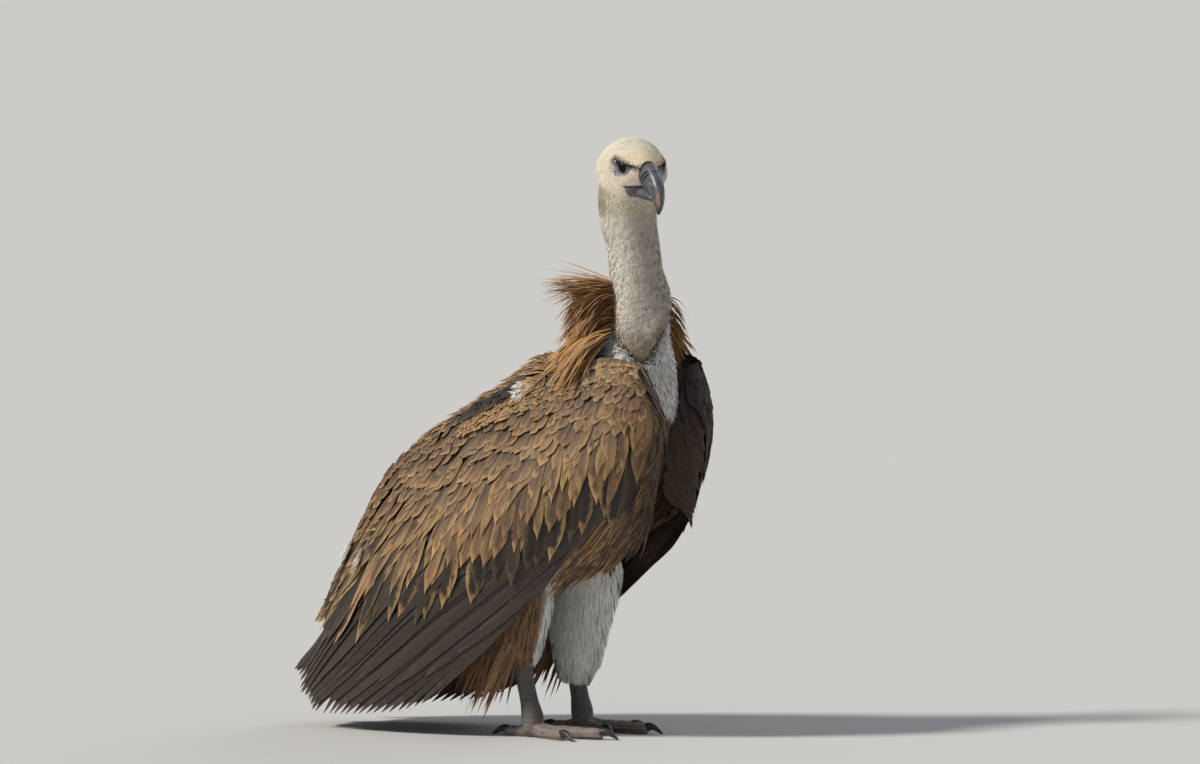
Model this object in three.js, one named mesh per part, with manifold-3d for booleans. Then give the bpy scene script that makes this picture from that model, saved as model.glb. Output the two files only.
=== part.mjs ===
// A griffon vulture standing with its wings folded and its head turned to its right, at life size.
// Millimetres, +Z up. The bird faces -Y, so +X is its left. The outer surface of each solid is the
// outline of the feathers, down or horn that the part carries.
import * as THREE from "three";
import { mergeVertices } from "three/addons/utils/BufferGeometryUtils.js";
import Module from "manifold-3d";

const wasm = await Module();
wasm.setup();

// ---------- Driving dimensions ----------
const GAP = 0.4; // left between parts that touch
const SIDES = { right: -1, left: 1 };

const HEAD = {
  at: [130, -14, 761], // midway between the eyes: ahead of the feet, to the left, above the ground
  turn: 40, // degrees towards the bird's right
  bow: 22, // degrees that the bill points below the level
  cere: 45, // how far ahead of the eyes the cere ends
};
const EYE = { radius: 11.5, from_middle: 22 };
const SOCKET = { at: [12, 45, -1.5], reach: [24, 21, 12.5] }; // the hollow that the eye lies in
const WING = { front: 12, deep: 36, rear: 8, flight: 9, inset: 3 }; // thickness along the wing
const TAIL = { thick: 9, tips: 6, arch: 14, rows: 6 };
const LEG = { left_of_middle: 56, hock_up: 112, ankle_up: 26, tarsus: 12 };
const FOOT_AHEAD = { right: -10, left: 5 };
const TOES = [
  { name: "inner", angle: 34, length: 60, radius: 8.5 },
  { name: "middle", angle: 3, length: 98, radius: 9.5 },
  { name: "outer", angle: -27, length: 66, radius: 8.5 },
  { name: "hind", angle: 172, length: 42, radius: 8 },
];
const CLAW = { length: 27, radius: 5.2 };
const RUFF = {
  near_side: -60, // degrees from straight back, round the neck
  far_side: 116,
  plumes: 12,
  root: 596, // above the ground
  reach: 126,
};

// ---------- Places ----------
const UP = new THREE.Vector3(0, 0, 1);
const LEFT = new THREE.Vector3(1, 0, 0);
const rad = THREE.MathUtils.degToRad;
const { lerp, clamp } = THREE.MathUtils;

/** A point given as millimetres ahead of the feet, to the bird's left, and above the ground. */
const place = ([ahead, left, up]) => new THREE.Vector3(left, -ahead, up);

/** A smooth curve through points. */
const curve = (points) => new THREE.CatmullRomCurve3(points, false, "centripetal");

/** The number at t, from 0 to 1, on a smooth line through evenly spread numbers. */
function through(values, t) {
  return curve(values.map((v, i) => new THREE.Vector3(v, i * 20, 0))).getPoint(t).x;
}

/** The number at x on a line through [x, number] pairs. */
function table(pairs, x) {
  const next = pairs.findIndex(([at]) => at >= x);
  if (next === 0) return pairs[0][1];
  if (next < 0) return pairs.at(-1)[1];
  const [[a, from], [b, to]] = [pairs[next - 1], pairs[next]];
  return lerp(from, to, (x - a) / (b - a));
}

// ---------- Solids ----------
/**
 * A closed geometry over rings of equally many points. A round ring is closed by a fan at both ends,
 * and a flat one, which runs out along one face and back along the other, by a strip.
 */
function overRings(rings, flat = false) {
  const around = rings[0].length;
  const points = rings.flat();
  const end = (rings.length - 1) * around;
  const faces = [];
  const quad = (a, b, c, d) => faces.push(a, b, c, a, c, d);
  for (let i = 0; i < rings.length - 1; i++) {
    for (let j = 0; j < around; j++) {
      const [a, b] = [i * around + j, i * around + ((j + 1) % around)];
      quad(a, b, b + around, a + around);
    }
  }
  if (flat) {
    for (let j = 0; j < around / 2 - 1; j++) {
      const across = [j, around - 1 - j, around - 2 - j, j + 1];
      quad(...across);
      quad(...across.map((k) => end + k).reverse());
    }
    return new THREE.BufferGeometry().setFromPoints(points).setIndex(faces);
  }
  const middleOf = (ring) => {
    const sum = ring.reduce((total, p) => total.add(p), new THREE.Vector3());
    return sum.divideScalar(around);
  };
  points.push(middleOf(rings[0]), middleOf(rings.at(-1)));
  const [first, last] = [points.length - 2, points.length - 1];
  for (let j = 0; j < around; j++) {
    const next = (j + 1) % around;
    faces.push(first, next, j, last, end + j, end + next);
  }
  return new THREE.BufferGeometry().setFromPoints(points).setIndex(faces);
}

/** A geometry as a manifold-3d solid that faces out. */
function solid(geometry) {
  const bare = geometry.clone();
  bare.deleteAttribute("normal");
  bare.deleteAttribute("uv");
  const merged = mergeVertices(bare, 1e-3);
  const vertProperties = new Float32Array(merged.attributes.position.array);
  const facing = (triVerts) => new wasm.Manifold(new wasm.Mesh({ numProp: 3, vertProperties, triVerts }));
  const faces = new Uint32Array(merged.index.array);
  const made = facing(faces);
  return made.volume() > 0 ? made : facing(faces.reverse());
}

/**
 * A smooth body through sections along a bent middle line. A section has its middle at `at`, and
 * reaches `over` to the back or top, `under` to the front or belly, and `side` to either side.
 */
function loft(sections, { around = 14, along = 1, across = LEFT, grow = 0 } = {}) {
  const line = curve(sections.map((s) => s.at.clone()));
  const steps = (sections.length - 1) * along;
  const rings = [];
  for (let i = 0; i <= steps; i++) {
    const t = i / steps;
    const read = (key) => Math.max(through(sections.map((s) => s[key]), t), 0.5) + grow;
    const forward = line.getTangent(t);
    const side = across.clone().addScaledVector(forward, -across.dot(forward)).normalize();
    const top = forward.clone().cross(side);
    const middle = line.getPoint(t);
    const ends = grow && (i === 0 ? -grow : i === steps ? grow : 0);
    middle.addScaledVector(forward, ends);
    const [over, under, wide] = [read("over"), read("under"), read("side")];
    const ring = [];
    for (let j = 0; j < around; j++) {
      const angle = (2 * Math.PI * j) / around;
      const high = Math.sin(angle) * (Math.sin(angle) > 0 ? over : under);
      const p = middle.clone().addScaledVector(side, Math.cos(angle) * wide);
      ring.push(p.addScaledVector(top, high));
    }
    rings.push(ring);
  }
  return solid(overRings(rings));
}

/** A section for loft(). */
const section = (at, over, under, side) => ({ at: place(at), over, under, side });

/** The point (u, v) of a sheet drawn through ribs, each a list of places from its top to its bottom. */
function sheetPoint(ribs, u, v) {
  return curve(ribs.map((rib) => curve(rib.map(place)).getPoint(v))).getPoint(u);
}

/**
 * A curved plate on the bird's left (side 1) or right (side -1): the stretch of a sheet between two
 * values of u, from top(u) to bottom(u), that lies `inset` inside the sheet and is thick(u, v) deep.
 */
function plate(ribs, { us, top, bottom, thick, inward, inset = 0, side = 1, down = 4 }) {
  const rings = [];
  const first = Math.round(us[0] / STATION);
  const last = Math.round(us[1] / STATION);
  for (let i = first; i <= last; i++) {
    const u = clamp(i * STATION, us[0], us[1]);
    const outer = [];
    const inner = [];
    for (let j = 0; j <= down; j++) {
      const v = lerp(top(u), bottom(u, i), j / down);
      const face = sheetPoint(ribs, u, v).addScaledVector(inward(u), inset);
      outer.push(face);
      inner.push(face.clone().addScaledVector(inward(u), Math.max(thick(u, v), 1)));
    }
    const ring = [...outer, ...inner.reverse()];
    rings.push(ring.map((p) => new THREE.Vector3(p.x * side, p.y, p.z)));
  }
  return solid(overRings(rings, true));
}

/** A solid with its neighbours taken out of it. */
const carve = (body, ...neighbours) => neighbours.reduce((left, other) => left.subtract(other), body);

/** The largest of a solid's separate bodies. */
const whole = (body) => body.decompose().reduce((best, b) => (b.volume() > best.volume() ? b : best));

/** A solid with what is below the ground taken off, so that it stands on a flat. */
const onGround = (body) => whole(body.trimByPlane([0, 0, 1], 0));

// ---------- Head ----------
const headFrame = new THREE.Matrix4()
  .makeTranslation(place(HEAD.at))
  .multiply(new THREE.Matrix4().makeRotationZ(-rad(HEAD.turn)))
  .multiply(new THREE.Matrix4().makeRotationX(rad(HEAD.bow)));
const headLeft = LEFT.clone().transformDirection(headFrame);

/** A place in the head: ahead of the eyes, to the left, and above them. */
const inHead = (at) => place(at).applyMatrix4(headFrame);
const headSection = (at, over, under, side) => ({ at: inHead(at), over, under, side });

/** An egg shape in the head, with its reach ahead, to the left and up. */
function egg(at, [ahead, left, up]) {
  const round = new THREE.IcosahedronGeometry(1, 1).scale(left, ahead, up);
  return solid(round.translate(...place(at)).applyMatrix4(headFrame));
}

function cranium(grow = 0) {
  const sections = [
    headSection([-66, 0, -22], 19, 24, 23),
    headSection([-57, 0, -22], 32, 36, 37),
    headSection([-41, 0, -21], 44.5, 37, 48.5),
    headSection([-20, 0, -17], 44.5, 34, 47.5),
    headSection([-4, 0, -11], 37, 31, 42),
    headSection([10, 0, -8], 29, 31, 31.5),
    headSection([23, 0, -7], 21, 24, 21),
    headSection([32, 0, -7], 13, 14, 12),
  ];
  return loft(sections, { across: headLeft, along: 2, grow });
}

function upperBill(grow = 0) {
  const sections = [
    headSection([22, 0, -3], 19, 15, 14),
    headSection([34, 0, -2], 18, 15, 13.5),
    headSection([47, 0, -4], 16, 15, 11.5),
    headSection([60, 0, -8.5], 13.5, 13.5, 10),
    headSection([70, 0, -15.5], 11, 11.5, 8),
    headSection([76, 0, -25.5], 7.5, 8, 5.5),
    headSection([78.5, 0, -36], 1.8, 1.8, 1.6),
  ];
  return loft(sections, { across: headLeft, around: 12, along: 2, grow });
}

function lowerBill(grow = 0) {
  const sections = [
    headSection([6, 0, -31], 6, 8, 21),
    headSection([14, 0, -29.5], 8, 9, 18.5),
    headSection([28, 0, -26.5], 8, 9, 14),
    headSection([42, 0, -24], 7, 7, 10),
    headSection([55, 0, -22.5], 4.5, 4.5, 7),
    headSection([61, 0, -21.5], 2, 2, 4),
  ];
  return loft(sections, { across: headLeft, around: 10, grow });
}

/** A solid split across the head, this far ahead of the eyes, as its front and its rear. */
function splitAhead(body, ahead) {
  const normal = headLeft.clone().cross(UP.clone().transformDirection(headFrame));
  normal.multiplyScalar(Math.sign(normal.dot(inHead([1, 0, 0]).sub(inHead([0, 0, 0])))));
  const at = inHead([ahead, 0, 0]).dot(normal);
  const front = body.trimByPlane(normal.toArray(), at + GAP / 2);
  const rear = body.trimByPlane(normal.clone().negate().toArray(), GAP / 2 - at);
  return [whole(front), whole(rear)];
}

function buildHead() {
  const eyeball = (side, grow = 0) => {
    const reach = EYE.radius + grow;
    return egg([0, side * EYE.from_middle, 0], [reach, reach, reach]);
  };
  const socket = (side) => egg([SOCKET.at[0], side * SOCKET.at[1], SOCKET.at[2]], SOCKET.reach);
  const upper = carve(upperBill(), lowerBill(GAP));
  const [tip, cere] = splitAhead(upper, HEAD.cere);
  let flesh = carve(cranium(), upperBill(GAP), lowerBill(GAP));
  const pieces = { cere, bill_upper: tip, bill_lower: whole(lowerBill()) };
  for (const [name, side] of Object.entries(SIDES)) {
    flesh = carve(flesh, socket(side), eyeball(side, GAP));
    pieces["eye_" + name] = eyeball(side);
  }
  return { ...pieces, head: whole(flesh) };
}

// ---------- Neck, trunk and ruff ----------
function neck(grow = 0) {
  const sections = [
    section([104, 0, 452], 46, 50, 46),
    section([114, 0, 500], 42, 44, 45),
    section([120, 0, 548], 42, 40, 42),
    section([118, 1, 600], 41, 36, 38),
    section([112, 1, 650], 38.5, 35, 37),
    section([105, 0, 690], 42, 37, 41),
    section([104, 0, 720], 43, 40, 45),
    section([107, -1, 742], 41, 38, 47),
  ];
  return loft(sections, { grow });
}

function trunk(grow = 0) {
  const sections = [
    section([-246, 0, 212], 20, 18, 20),
    section([-222, 0, 236], 62, 44, 46),
    section([-165, 0, 290], 101, 84, 78),
    section([-85, 0, 335], 112, 108, 102),
    section([-5, 0, 366], 128, 124, 112),
    section([62, 0, 400], 140, 100, 104),
    section([104, 0, 448], 112, 66, 88),
    section([118, 0, 492], 92, 48, 68),
    section([118, 0, 528], 66, 41, 54),
    section([116, 0, 552], 42, 40, 43),
  ];
  return loft(sections, { around: 18, grow });
}

/** The collar of long plumes round the back and the left of the neck, in two tiers. */
function ruff() {
  const rings = [];
  const steps = RUFF.plumes * 2;
  for (let i = 0; i <= steps; i++) {
    const turn = rad(lerp(RUFF.near_side, RUFF.far_side, i / steps));
    const [back, left] = [Math.cos(turn), Math.sin(turn)];
    const fullness = Math.abs(Math.sin((Math.PI * i) / steps)) ** 0.4; // thin at both ends
    const tip = lerp(58, RUFF.reach + 9 * back - (i % 2 ? 0 : 18), fullness);
    const drop = i % 2 ? 8 : 0;
    const spot = (far, up) => place([119 - back * far, left * far, RUFF.root + up + 16 * back]);
    rings.push([
      spot(40, -34),
      spot(49, -8),
      spot(tip * 0.62, 4),
      spot(tip, -12 - drop),
      spot(tip * 0.82, -32),
      spot(tip * 0.98, -62 - drop),
      spot(tip * 0.8, -82),
      spot(tip * 0.9, -112 - drop),
      spot(52, -104),
    ]);
  }
  return solid(overRings(rings));
}

// ---------- Wings ----------
/** Places from the top edge of the folded wing to its lower edge, from the wrist to the tips. */
const WING_RIBS = [
  [[150, 50, 486], [182, 50, 416], [166, 48, 318]],
  [[158, 72, 499], [187, 85, 422], [160, 84, 290]],
  [[118, 86, 508], [152, 127, 392], [124, 106, 252]],
  [[55, 84, 492], [84, 146, 352], [62, 122, 210]],
  [[-20, 74, 466], [-2, 156, 308], [-4, 131, 165]],
  [[-100, 60, 436], [-84, 154, 264], [-62, 134, 106]],
  [[-178, 42, 398], [-158, 143, 216], [-118, 130, 58]],
  [[-252, 28, 342], [-220, 126, 168], [-174, 120, 34]],
  [[-305, 22, 258], [-272, 108, 124], [-232, 110, 26]],
  [[-351, 24, 164], [-316, 92, 88], [-282, 98, 22]],
  [[-384, 38, 92], [-358, 70, 52], [-326, 84, 20]],
];
/** Where the top edge of one wing differs: the left one is held a little higher at the wrist. */
const RAISED_TOPS = { right: {}, left: { 1: [166, 88, 498], 2: [124, 98, 507] } };
/** Where the lower edge of one wing differs: the right one leaves more of the thigh to be seen. */
const RAISED_EDGES = {
  right: { 2: [124, 106, 262], 3: [62, 124, 234], 4: [-4, 132, 174], 5: [-62, 134, 118] },
  left: {},
};
/** How far down the wing the coverts end and the flight feathers start. */
const COVERTS_END = [[0, 0.84], [0.2, 0.86], [0.4, 0.8], [0.62, 0.62], [0.8, 0.48], [0.9, 0.34], [1, 0.2]];
const STATION = 0.032; // from one feather's tip to the notch beside it, along the wing
const SPLITS = { coverts: 0.3, tertials: 0.66, primaries: 0.69, end: 0.9 }; // along the wing
const SPLIT = 0.001;

const wingThick = (u, v) => {
  const along = table([[0, WING.front], [0.15, WING.deep], [0.5, WING.deep], [1, WING.rear]], u);
  return along * (0.35 + 0.65 * Math.sin(Math.PI * lerp(0.1, 0.9, v)));
};

/** The way into the bird from the face of its left wing: back at the wrist, and sideways behind it. */
const wingInward = (u) => {
  const back = table([[0, 3], [0.09, 1.8], [0.18, 0.7], [0.3, 0.25], [0.5, 0]], u);
  return place([-back, -1, 0]).normalize();
};

/** The parts of a folded wing, cut back from the neighbours it lies on. */
function wing(name, side, neighbours) {
  const ribs = WING_RIBS.map(([top, middle, edge], i) => [
    RAISED_TOPS[name][i] ?? top,
    middle,
    RAISED_EDGES[name][i] ?? edge,
  ]);
  const covertEnd = (u) => table(COVERTS_END, u);
  const under = (u) => covertEnd(u) + 4 * SPLIT;
  const tips = (u, i) => (i % 2 ? 1 : 0.955);
  const covert = (from, to) => ({
    side,
    us: [from, to - SPLIT],
    top: () => 0,
    bottom: covertEnd,
    thick: wingThick,
    inward: wingInward,
  });
  const flight = {
    side,
    inward: wingInward,
    inset: WING.inset,
    thick: (u, v) => Math.min(wingThick(u, v), WING.flight),
    down: 2,
  };
  const parts = {
    shoulder: { ...covert(0, SPLITS.coverts) },
    coverts: { ...covert(SPLITS.coverts, SPLITS.tertials) },
    tertials: { ...covert(SPLITS.tertials, SPLITS.end) },
    secondaries: {
      ...flight,
      us: [0.03, SPLITS.primaries - SPLIT],
      top: under,
      bottom: tips,
    },
    primaries: {
      ...flight,
      us: [SPLITS.primaries, 1],
      top: (u) => table([[SPLITS.end, under(u)], [SPLITS.end + 2 * SPLIT, 0.01]], u),
      bottom: tips,
    },
  };
  const made = {};
  for (const [part, spec] of Object.entries(parts)) {
    const bare = carve(plate(ribs, spec), ...neighbours, ...Object.values(made));
    made["wing_" + name + "_" + part] = whole(bare);
  }
  return made;
}

// ---------- Tail ----------
/** Places down the tail, from the rump to the tips, for its middle and its right and left edges. */
const TAIL_LINE = [
  { at: [-212, 0, 232], half: 30 },
  { at: [-262, 0, 190], half: 46 },
  { at: [-316, 0, 128], half: 56 },
  { at: [-352, 0, 62], half: 60 },
];

function tail(grow = 0) {
  const line = curve(TAIL_LINE.map(({ at }) => place(at)));
  const rings = [];
  const across = TAIL.tips * 2;
  for (let i = 0; i <= across; i++) {
    const share = (2 * i) / across - 1;
    const reach = 1 - 0.06 * share ** 2 - (i % 2 ? 0 : 0.025);
    const upper = [];
    const lower = [];
    for (let j = 0; j <= TAIL.rows; j++) {
      const t = (j / TAIL.rows) * reach;
      const half = through(TAIL_LINE.map((s) => s.half), t) + grow;
      const at = line.getPoint(t).addScaledVector(LEFT, share * half);
      const out = LEFT.clone().cross(line.getTangent(t)).normalize();
      if (out.z < 0) out.negate();
      at.addScaledVector(out, -TAIL.arch * share ** 2);
      upper.push(at.clone().addScaledVector(out, grow));
      lower.push(at.clone().addScaledVector(out, -TAIL.thick * (1 - 0.5 * t) - grow));
    }
    rings.push([...upper, ...lower.reverse()]);
  }
  return solid(overRings(rings, true));
}

// ---------- Legs ----------
/** A place by a leg: ahead of its foot, outward of it, and above the ground. */
const byLeg = (name, [ahead, out, up]) => {
  const side = SIDES[name];
  return [FOOT_AHEAD[name] + ahead, side * (LEG.left_of_middle + out), up];
};

function thigh(name, grow = 0) {
  const behind = name === "right" ? -10 : 0;
  const hem = name === "right" ? 92 : 62; // the right thigh is drawn up a little higher
  const sections = [
    section(byLeg(name, [behind - 4, 14, 290]), 42, 48, 34),
    section(byLeg(name, [behind - 2, 17, 245]), 54, 60, 40),
    section(byLeg(name, [behind - 6, 13, 190]), 53, 62, 38),
    section(byLeg(name, [behind - 10, 8, 145]), 46, 52, 34),
    section(byLeg(name, [behind * 0.5 - 14, 4, hem + 30]), 37, 34, 29),
    section(byLeg(name, [-20, 1, hem]), 24, 17, 18),
  ];
  return loft(sections, { around: 12, along: 2, grow });
}

function tarsus(name) {
  const r = LEG.tarsus;
  const sections = [
    section(byLeg(name, [-18, 3, LEG.hock_up + 12]), 11, 11, 11),
    section(byLeg(name, [-17, 3, LEG.hock_up]), 14.5, 13.5, 13.5),
    section(byLeg(name, [-12, 2, 78]), r, r, r - 1),
    section(byLeg(name, [-6, 1, 48]), r, r, r - 1),
    section(byLeg(name, [-2, 0, LEG.ankle_up]), 15, 14, 14.5),
    section(byLeg(name, [0, 0, 8]), 13, 13, 13),
  ];
  return loft(sections, { around: 8 });
}

/** One toe with its pads on the ground, and the claw at its end. */
function toeOf(name, { angle, length, radius }) {
  const turn = rad(angle) * -SIDES[name];
  const centre = place(byLeg(name, [0, 0, 0]));
  const forward = new THREE.Vector3(Math.sin(turn), -Math.cos(turn), 0);
  const across = UP.clone().cross(forward);
  const part = (far, up, r) => {
    const at = centre.clone().addScaledVector(forward, far).addScaledVector(UP, up);
    return { at, over: r, under: r, side: r };
  };
  const pad = radius * 0.86;
  const pads = Math.max(2, Math.round(length / 28)) * 2;
  const spots = [part(2, pad + 3, radius * 1.1)];
  for (let i = 1; i <= pads; i++) {
    const share = i / pads;
    const bulge = i % 2 ? 1 : 0.88;
    spots.push(part(lerp(12, length, share), pad * (1 - 0.12 * share), radius * bulge * (1 - 0.16 * share)));
  }
  const bend = (share, up, r) => part(length + share * CLAW.length, up, r);
  const hook = [
    bend(-0.2, pad, CLAW.radius * 0.8),
    bend(0.12, pad + 2.5, CLAW.radius),
    bend(0.45, pad + 1.5, CLAW.radius * 0.78),
    bend(0.75, pad - 3, CLAW.radius * 0.5),
    bend(0.95, 1.6, 1.2),
  ];
  return {
    toe: loft(spots, { around: 7, across }),
    claw: (grow) => loft(hook, { around: 6, across, grow }),
  };
}

function foot(name) {
  const toes = TOES.map((spec) => ({ ...toeOf(name, spec), name: spec.name }));
  const joined = toes.reduce((sum, { toe }) => sum.add(toe), tarsus(name));
  const bare = carve(joined, thigh(name, GAP), ...toes.map(({ claw }) => claw(GAP)));
  const claws = toes.map((t) => ["claw_" + name + "_" + t.name, onGround(t.claw(0))]);
  return { ["foot_" + name]: onGround(bare), ...Object.fromEntries(claws) };
}

// ---------- The whole bird ----------
const LOOKS = [
  [/^(head|neck)/, { color: 0xe6dcc8, roughness: 0.95 }],
  [/^(cere|bill)/, { color: 0x4a4a50, roughness: 0.4 }],
  [/^eye/, { color: 0x1c1412, roughness: 0.05 }],
  [/^claw/, { color: 0x2a2725, roughness: 0.4 }],
  [/^foot/, { color: 0x6d6a68, roughness: 0.7 }],
  [/(secondaries|primaries|tail)$/, { color: 0x3d342d, roughness: 0.7 }],
  [/./, { color: 0x8d6a43, roughness: 0.85 }],
];

function meshOf(name, body) {
  const { numProp, vertProperties, triVerts } = body.getMesh();
  const points = new Float32Array((vertProperties.length / numProp) * 3);
  for (let i = 0; i < points.length / 3; i++) {
    points.set(vertProperties.subarray(i * numProp, i * numProp + 3), 3 * i);
  }
  const geometry = new THREE.BufferGeometry()
    .setAttribute("position", new THREE.BufferAttribute(points, 3))
    .setIndex(new THREE.BufferAttribute(triVerts, 1));
  const look = LOOKS.find(([pattern]) => pattern.test(name))[1];
  const mesh = new THREE.Mesh(geometry, new THREE.MeshStandardMaterial({ ...look, metalness: 0 }));
  mesh.name = name;
  return mesh;
}

/** A body as what its neighbours keep clear of: itself, and itself grown by a gap. */
const clearOf = (make, gap = GAP) => make(gap).add(make());

function buildBird() {
  const names = Object.keys(SIDES);
  const thighs = names.map((name) => clearOf((grow) => thigh(name, grow)));
  const [trunkRoom, tailRoom] = [clearOf(trunk), clearOf(tail)];
  const pieces = {
    ...buildHead(),
    neck: whole(carve(neck(), clearOf(cranium), clearOf(lowerBill), trunkRoom)),
    trunk: trunk(),
    tail: whole(carve(tail(), trunkRoom)),
  };
  for (const name of names) {
    pieces["thigh_" + name] = whole(carve(thigh(name), trunkRoom));
    const parts = wing(name, SIDES[name], [trunkRoom, tailRoom, ...thighs]);
    Object.assign(pieces, parts, foot(name));
  }
  const below = names.flatMap((name) => {
    return ["shoulder", "coverts"].map((part) => pieces["wing_" + name + "_" + part]);
  });
  pieces.ruff = whole(carve(ruff(), clearOf(neck, 2 * GAP), clearOf(trunk, 2 * GAP), ...below));
  return pieces;
}

const group = new THREE.Group();
const bird = buildBird();
for (const [name, body] of Object.entries(bird)) group.add(meshOf(name, body));
const box = new THREE.Box3().setFromObject(group);
const middle = box.getCenter(new THREE.Vector3());
for (const mesh of group.children) mesh.geometry.translate(-middle.x, -middle.y, 0);

export default group;
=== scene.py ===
"""The looks of a standing griffon vulture, built around its solids: one skin, feathers of mesh that
lie along it, horn, eyes and scaled feet. Metres, +Z up; the bird faces -Y and its left is +X."""

import math

import bmesh
import bpy
import numpy as np
from mathutils import Matrix, Vector
from mathutils.bvhtree import BVHTree


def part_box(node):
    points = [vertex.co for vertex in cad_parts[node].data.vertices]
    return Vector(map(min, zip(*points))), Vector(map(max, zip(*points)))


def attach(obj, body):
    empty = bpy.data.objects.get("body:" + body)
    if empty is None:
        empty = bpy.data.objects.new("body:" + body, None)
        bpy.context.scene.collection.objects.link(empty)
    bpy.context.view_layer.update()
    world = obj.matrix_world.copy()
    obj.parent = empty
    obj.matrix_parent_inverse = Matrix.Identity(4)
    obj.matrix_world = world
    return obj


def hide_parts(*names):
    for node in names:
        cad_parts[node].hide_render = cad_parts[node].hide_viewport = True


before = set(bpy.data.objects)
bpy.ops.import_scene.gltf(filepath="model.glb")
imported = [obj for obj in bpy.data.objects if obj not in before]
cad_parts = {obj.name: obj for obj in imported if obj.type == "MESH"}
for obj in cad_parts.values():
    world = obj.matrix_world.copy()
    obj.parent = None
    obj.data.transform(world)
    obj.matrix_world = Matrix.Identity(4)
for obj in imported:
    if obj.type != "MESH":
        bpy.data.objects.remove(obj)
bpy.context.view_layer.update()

# ---------- Driving dimensions, in millimetres and degrees ----------
MM = 0.001
SIDES = {"right": -1, "left": 1}
HEAD = {"at": (130, -14, 761), "turn": 40, "bow": 22, "cere": 45}
EYE = {"radius": 11.5, "from_middle": 22, "pit": 11.8, "opens_above": 37, "opens_below": 43}
SOCKET = {"at": (12, 45, -1.5), "reach": (24, 21, 12.5)}
LEG = {"left_of_middle": 56, "hock_up": 112, "ankle_up": 26, "tarsus": 12}
FOOT_AHEAD = {"right": -10, "left": 5}
HEM = {"right": 92, "left": 62}  # how far above the ground the trousers end
TOES = [
    {"name": "inner", "angle": 34, "length": 60, "radius": 8.5},
    {"name": "middle", "angle": 3, "length": 98, "radius": 9.5},
    {"name": "outer", "angle": -27, "length": 66, "radius": 8.5},
    {"name": "hind", "angle": 172, "length": 42, "radius": 8},
]
CLAW = {"length": 27, "radius": 5.2}
RUFF = {"near_side": -60, "far_side": 116, "root": 596, "neck_ahead": 119}
NOSTRIL = {"at": (39, 0.9), "lean": (0.45, 0.89), "reach": 8.6, "apart": 2.4, "width": 1.35, "depth": 2.6}
BODY_MIDDLE = ([0, 250, 400, 550, 800], [-60, -60, 40, 115, 120])  # how far ahead it runs, by height
# of the ruff's three kinds of plumes, of each brow's bristles, and of the plumes on each flank
COUNTS = {"collar": 1500, "golden": 700, "loose": 110, "bristles": 3200, "right": 900, "left": 320}
CROP = {"ahead": 114, "turn": -51, "up": 506, "behind": 585}  # the pouch that ends the neck
COAT_PASS = {"head": (660, 694), "neck": (702, 664)}  # heights where one coat of down gives way to the other
# the gap by the right wing's top edge, where painted shadow darkens the feathers
SLOT = {"from": 0.4, "to": 0.53, "reach": (0.017, 0.011)}  # the dark gap along the right wing's top edge
FINENESS = {"skin": 0.0048, "foot": 0.0013}  # the sizes of the smallest shapes that the skins keep, in metres
SCUTE = {"hexagon": 0.0036, "band": 0.0062, "round_shank": 0.0125}  # in metres
QUILL = 0.46  # the length of a flight feather with the part that the coverts hide, in metres
TAIL_FEATHERS = 12
FLOOR_HALF = 250
CAMERA = {"azimuth": -62, "elevation": 3, "distance": 12, "frame_width": 1.6}
CAMERA_AIM = {"right": 0.0533, "up": 0.4707}  # from the middle of the feet, in metres

# ---------- Arithmetic ----------
UP = np.array([0.0, 0.0, 1.0])
LEFT = np.array([1.0, 0.0, 0.0])


def unit(v):
    """Vectors scaled to a length of one."""
    return v / np.maximum(np.linalg.norm(v, axis=-1, keepdims=True), 1e-12)


def dot(a, b):
    """The scalar product, with its axis kept."""
    return (a * b).sum(-1, keepdims=True)


def flat_to(v, normal):
    """The direction of v along the surface that has this normal."""
    return unit(v - normal * dot(v, normal))


def ramp(x, low, high):
    """0 below low, 1 above high, and smooth between them. It runs backwards where low is the larger."""
    t = np.clip((x - low) / (high - low), 0, 1)
    return t * t * (3 - 2 * t)


def bell(x, width):
    """1 where x is 0, falling smoothly to nothing a few widths away."""
    return np.exp(-((x / width) ** 2))


def between(a, b, share):
    """Numbers between a and b."""
    return a * (1 - share) + b * share


def blend(a, b, share):
    """Colours or vectors between a and b, one for each share."""
    return between(np.asarray(a), np.asarray(b), np.asarray(share)[..., None])


def blend_both(pair, other, share):
    """A feather's middle and rim colours, both moved towards another pair."""
    return blend(pair[0], other[0], share), blend(pair[1], other[1], share)


def layered(colour, *layers):
    """A colour with others laid over it, each as far as its share says."""
    for over, share in layers:
        colour = blend(colour, over, share)
    return colour


def waves(points, size, seed):
    """Smooth noise from -1 to 1 at points, with features about size across."""
    source = np.random.default_rng(seed)
    total = np.zeros(points.shape[:-1])
    for _ in range(6):
        direction = unit(source.normal(size=3))
        total += np.sin(points @ direction * (2 * math.pi / size) + source.uniform(0, 2 * math.pi))
    return total / 3.2


def srgb(*rgb):
    """A colour given as it is seen, from 0 to 255, as the light that it stands for."""
    c = np.array(rgb) / 255
    return np.where(c <= 0.04045, c / 12.92, ((c + 0.055) / 1.055) ** 2.4)


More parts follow.
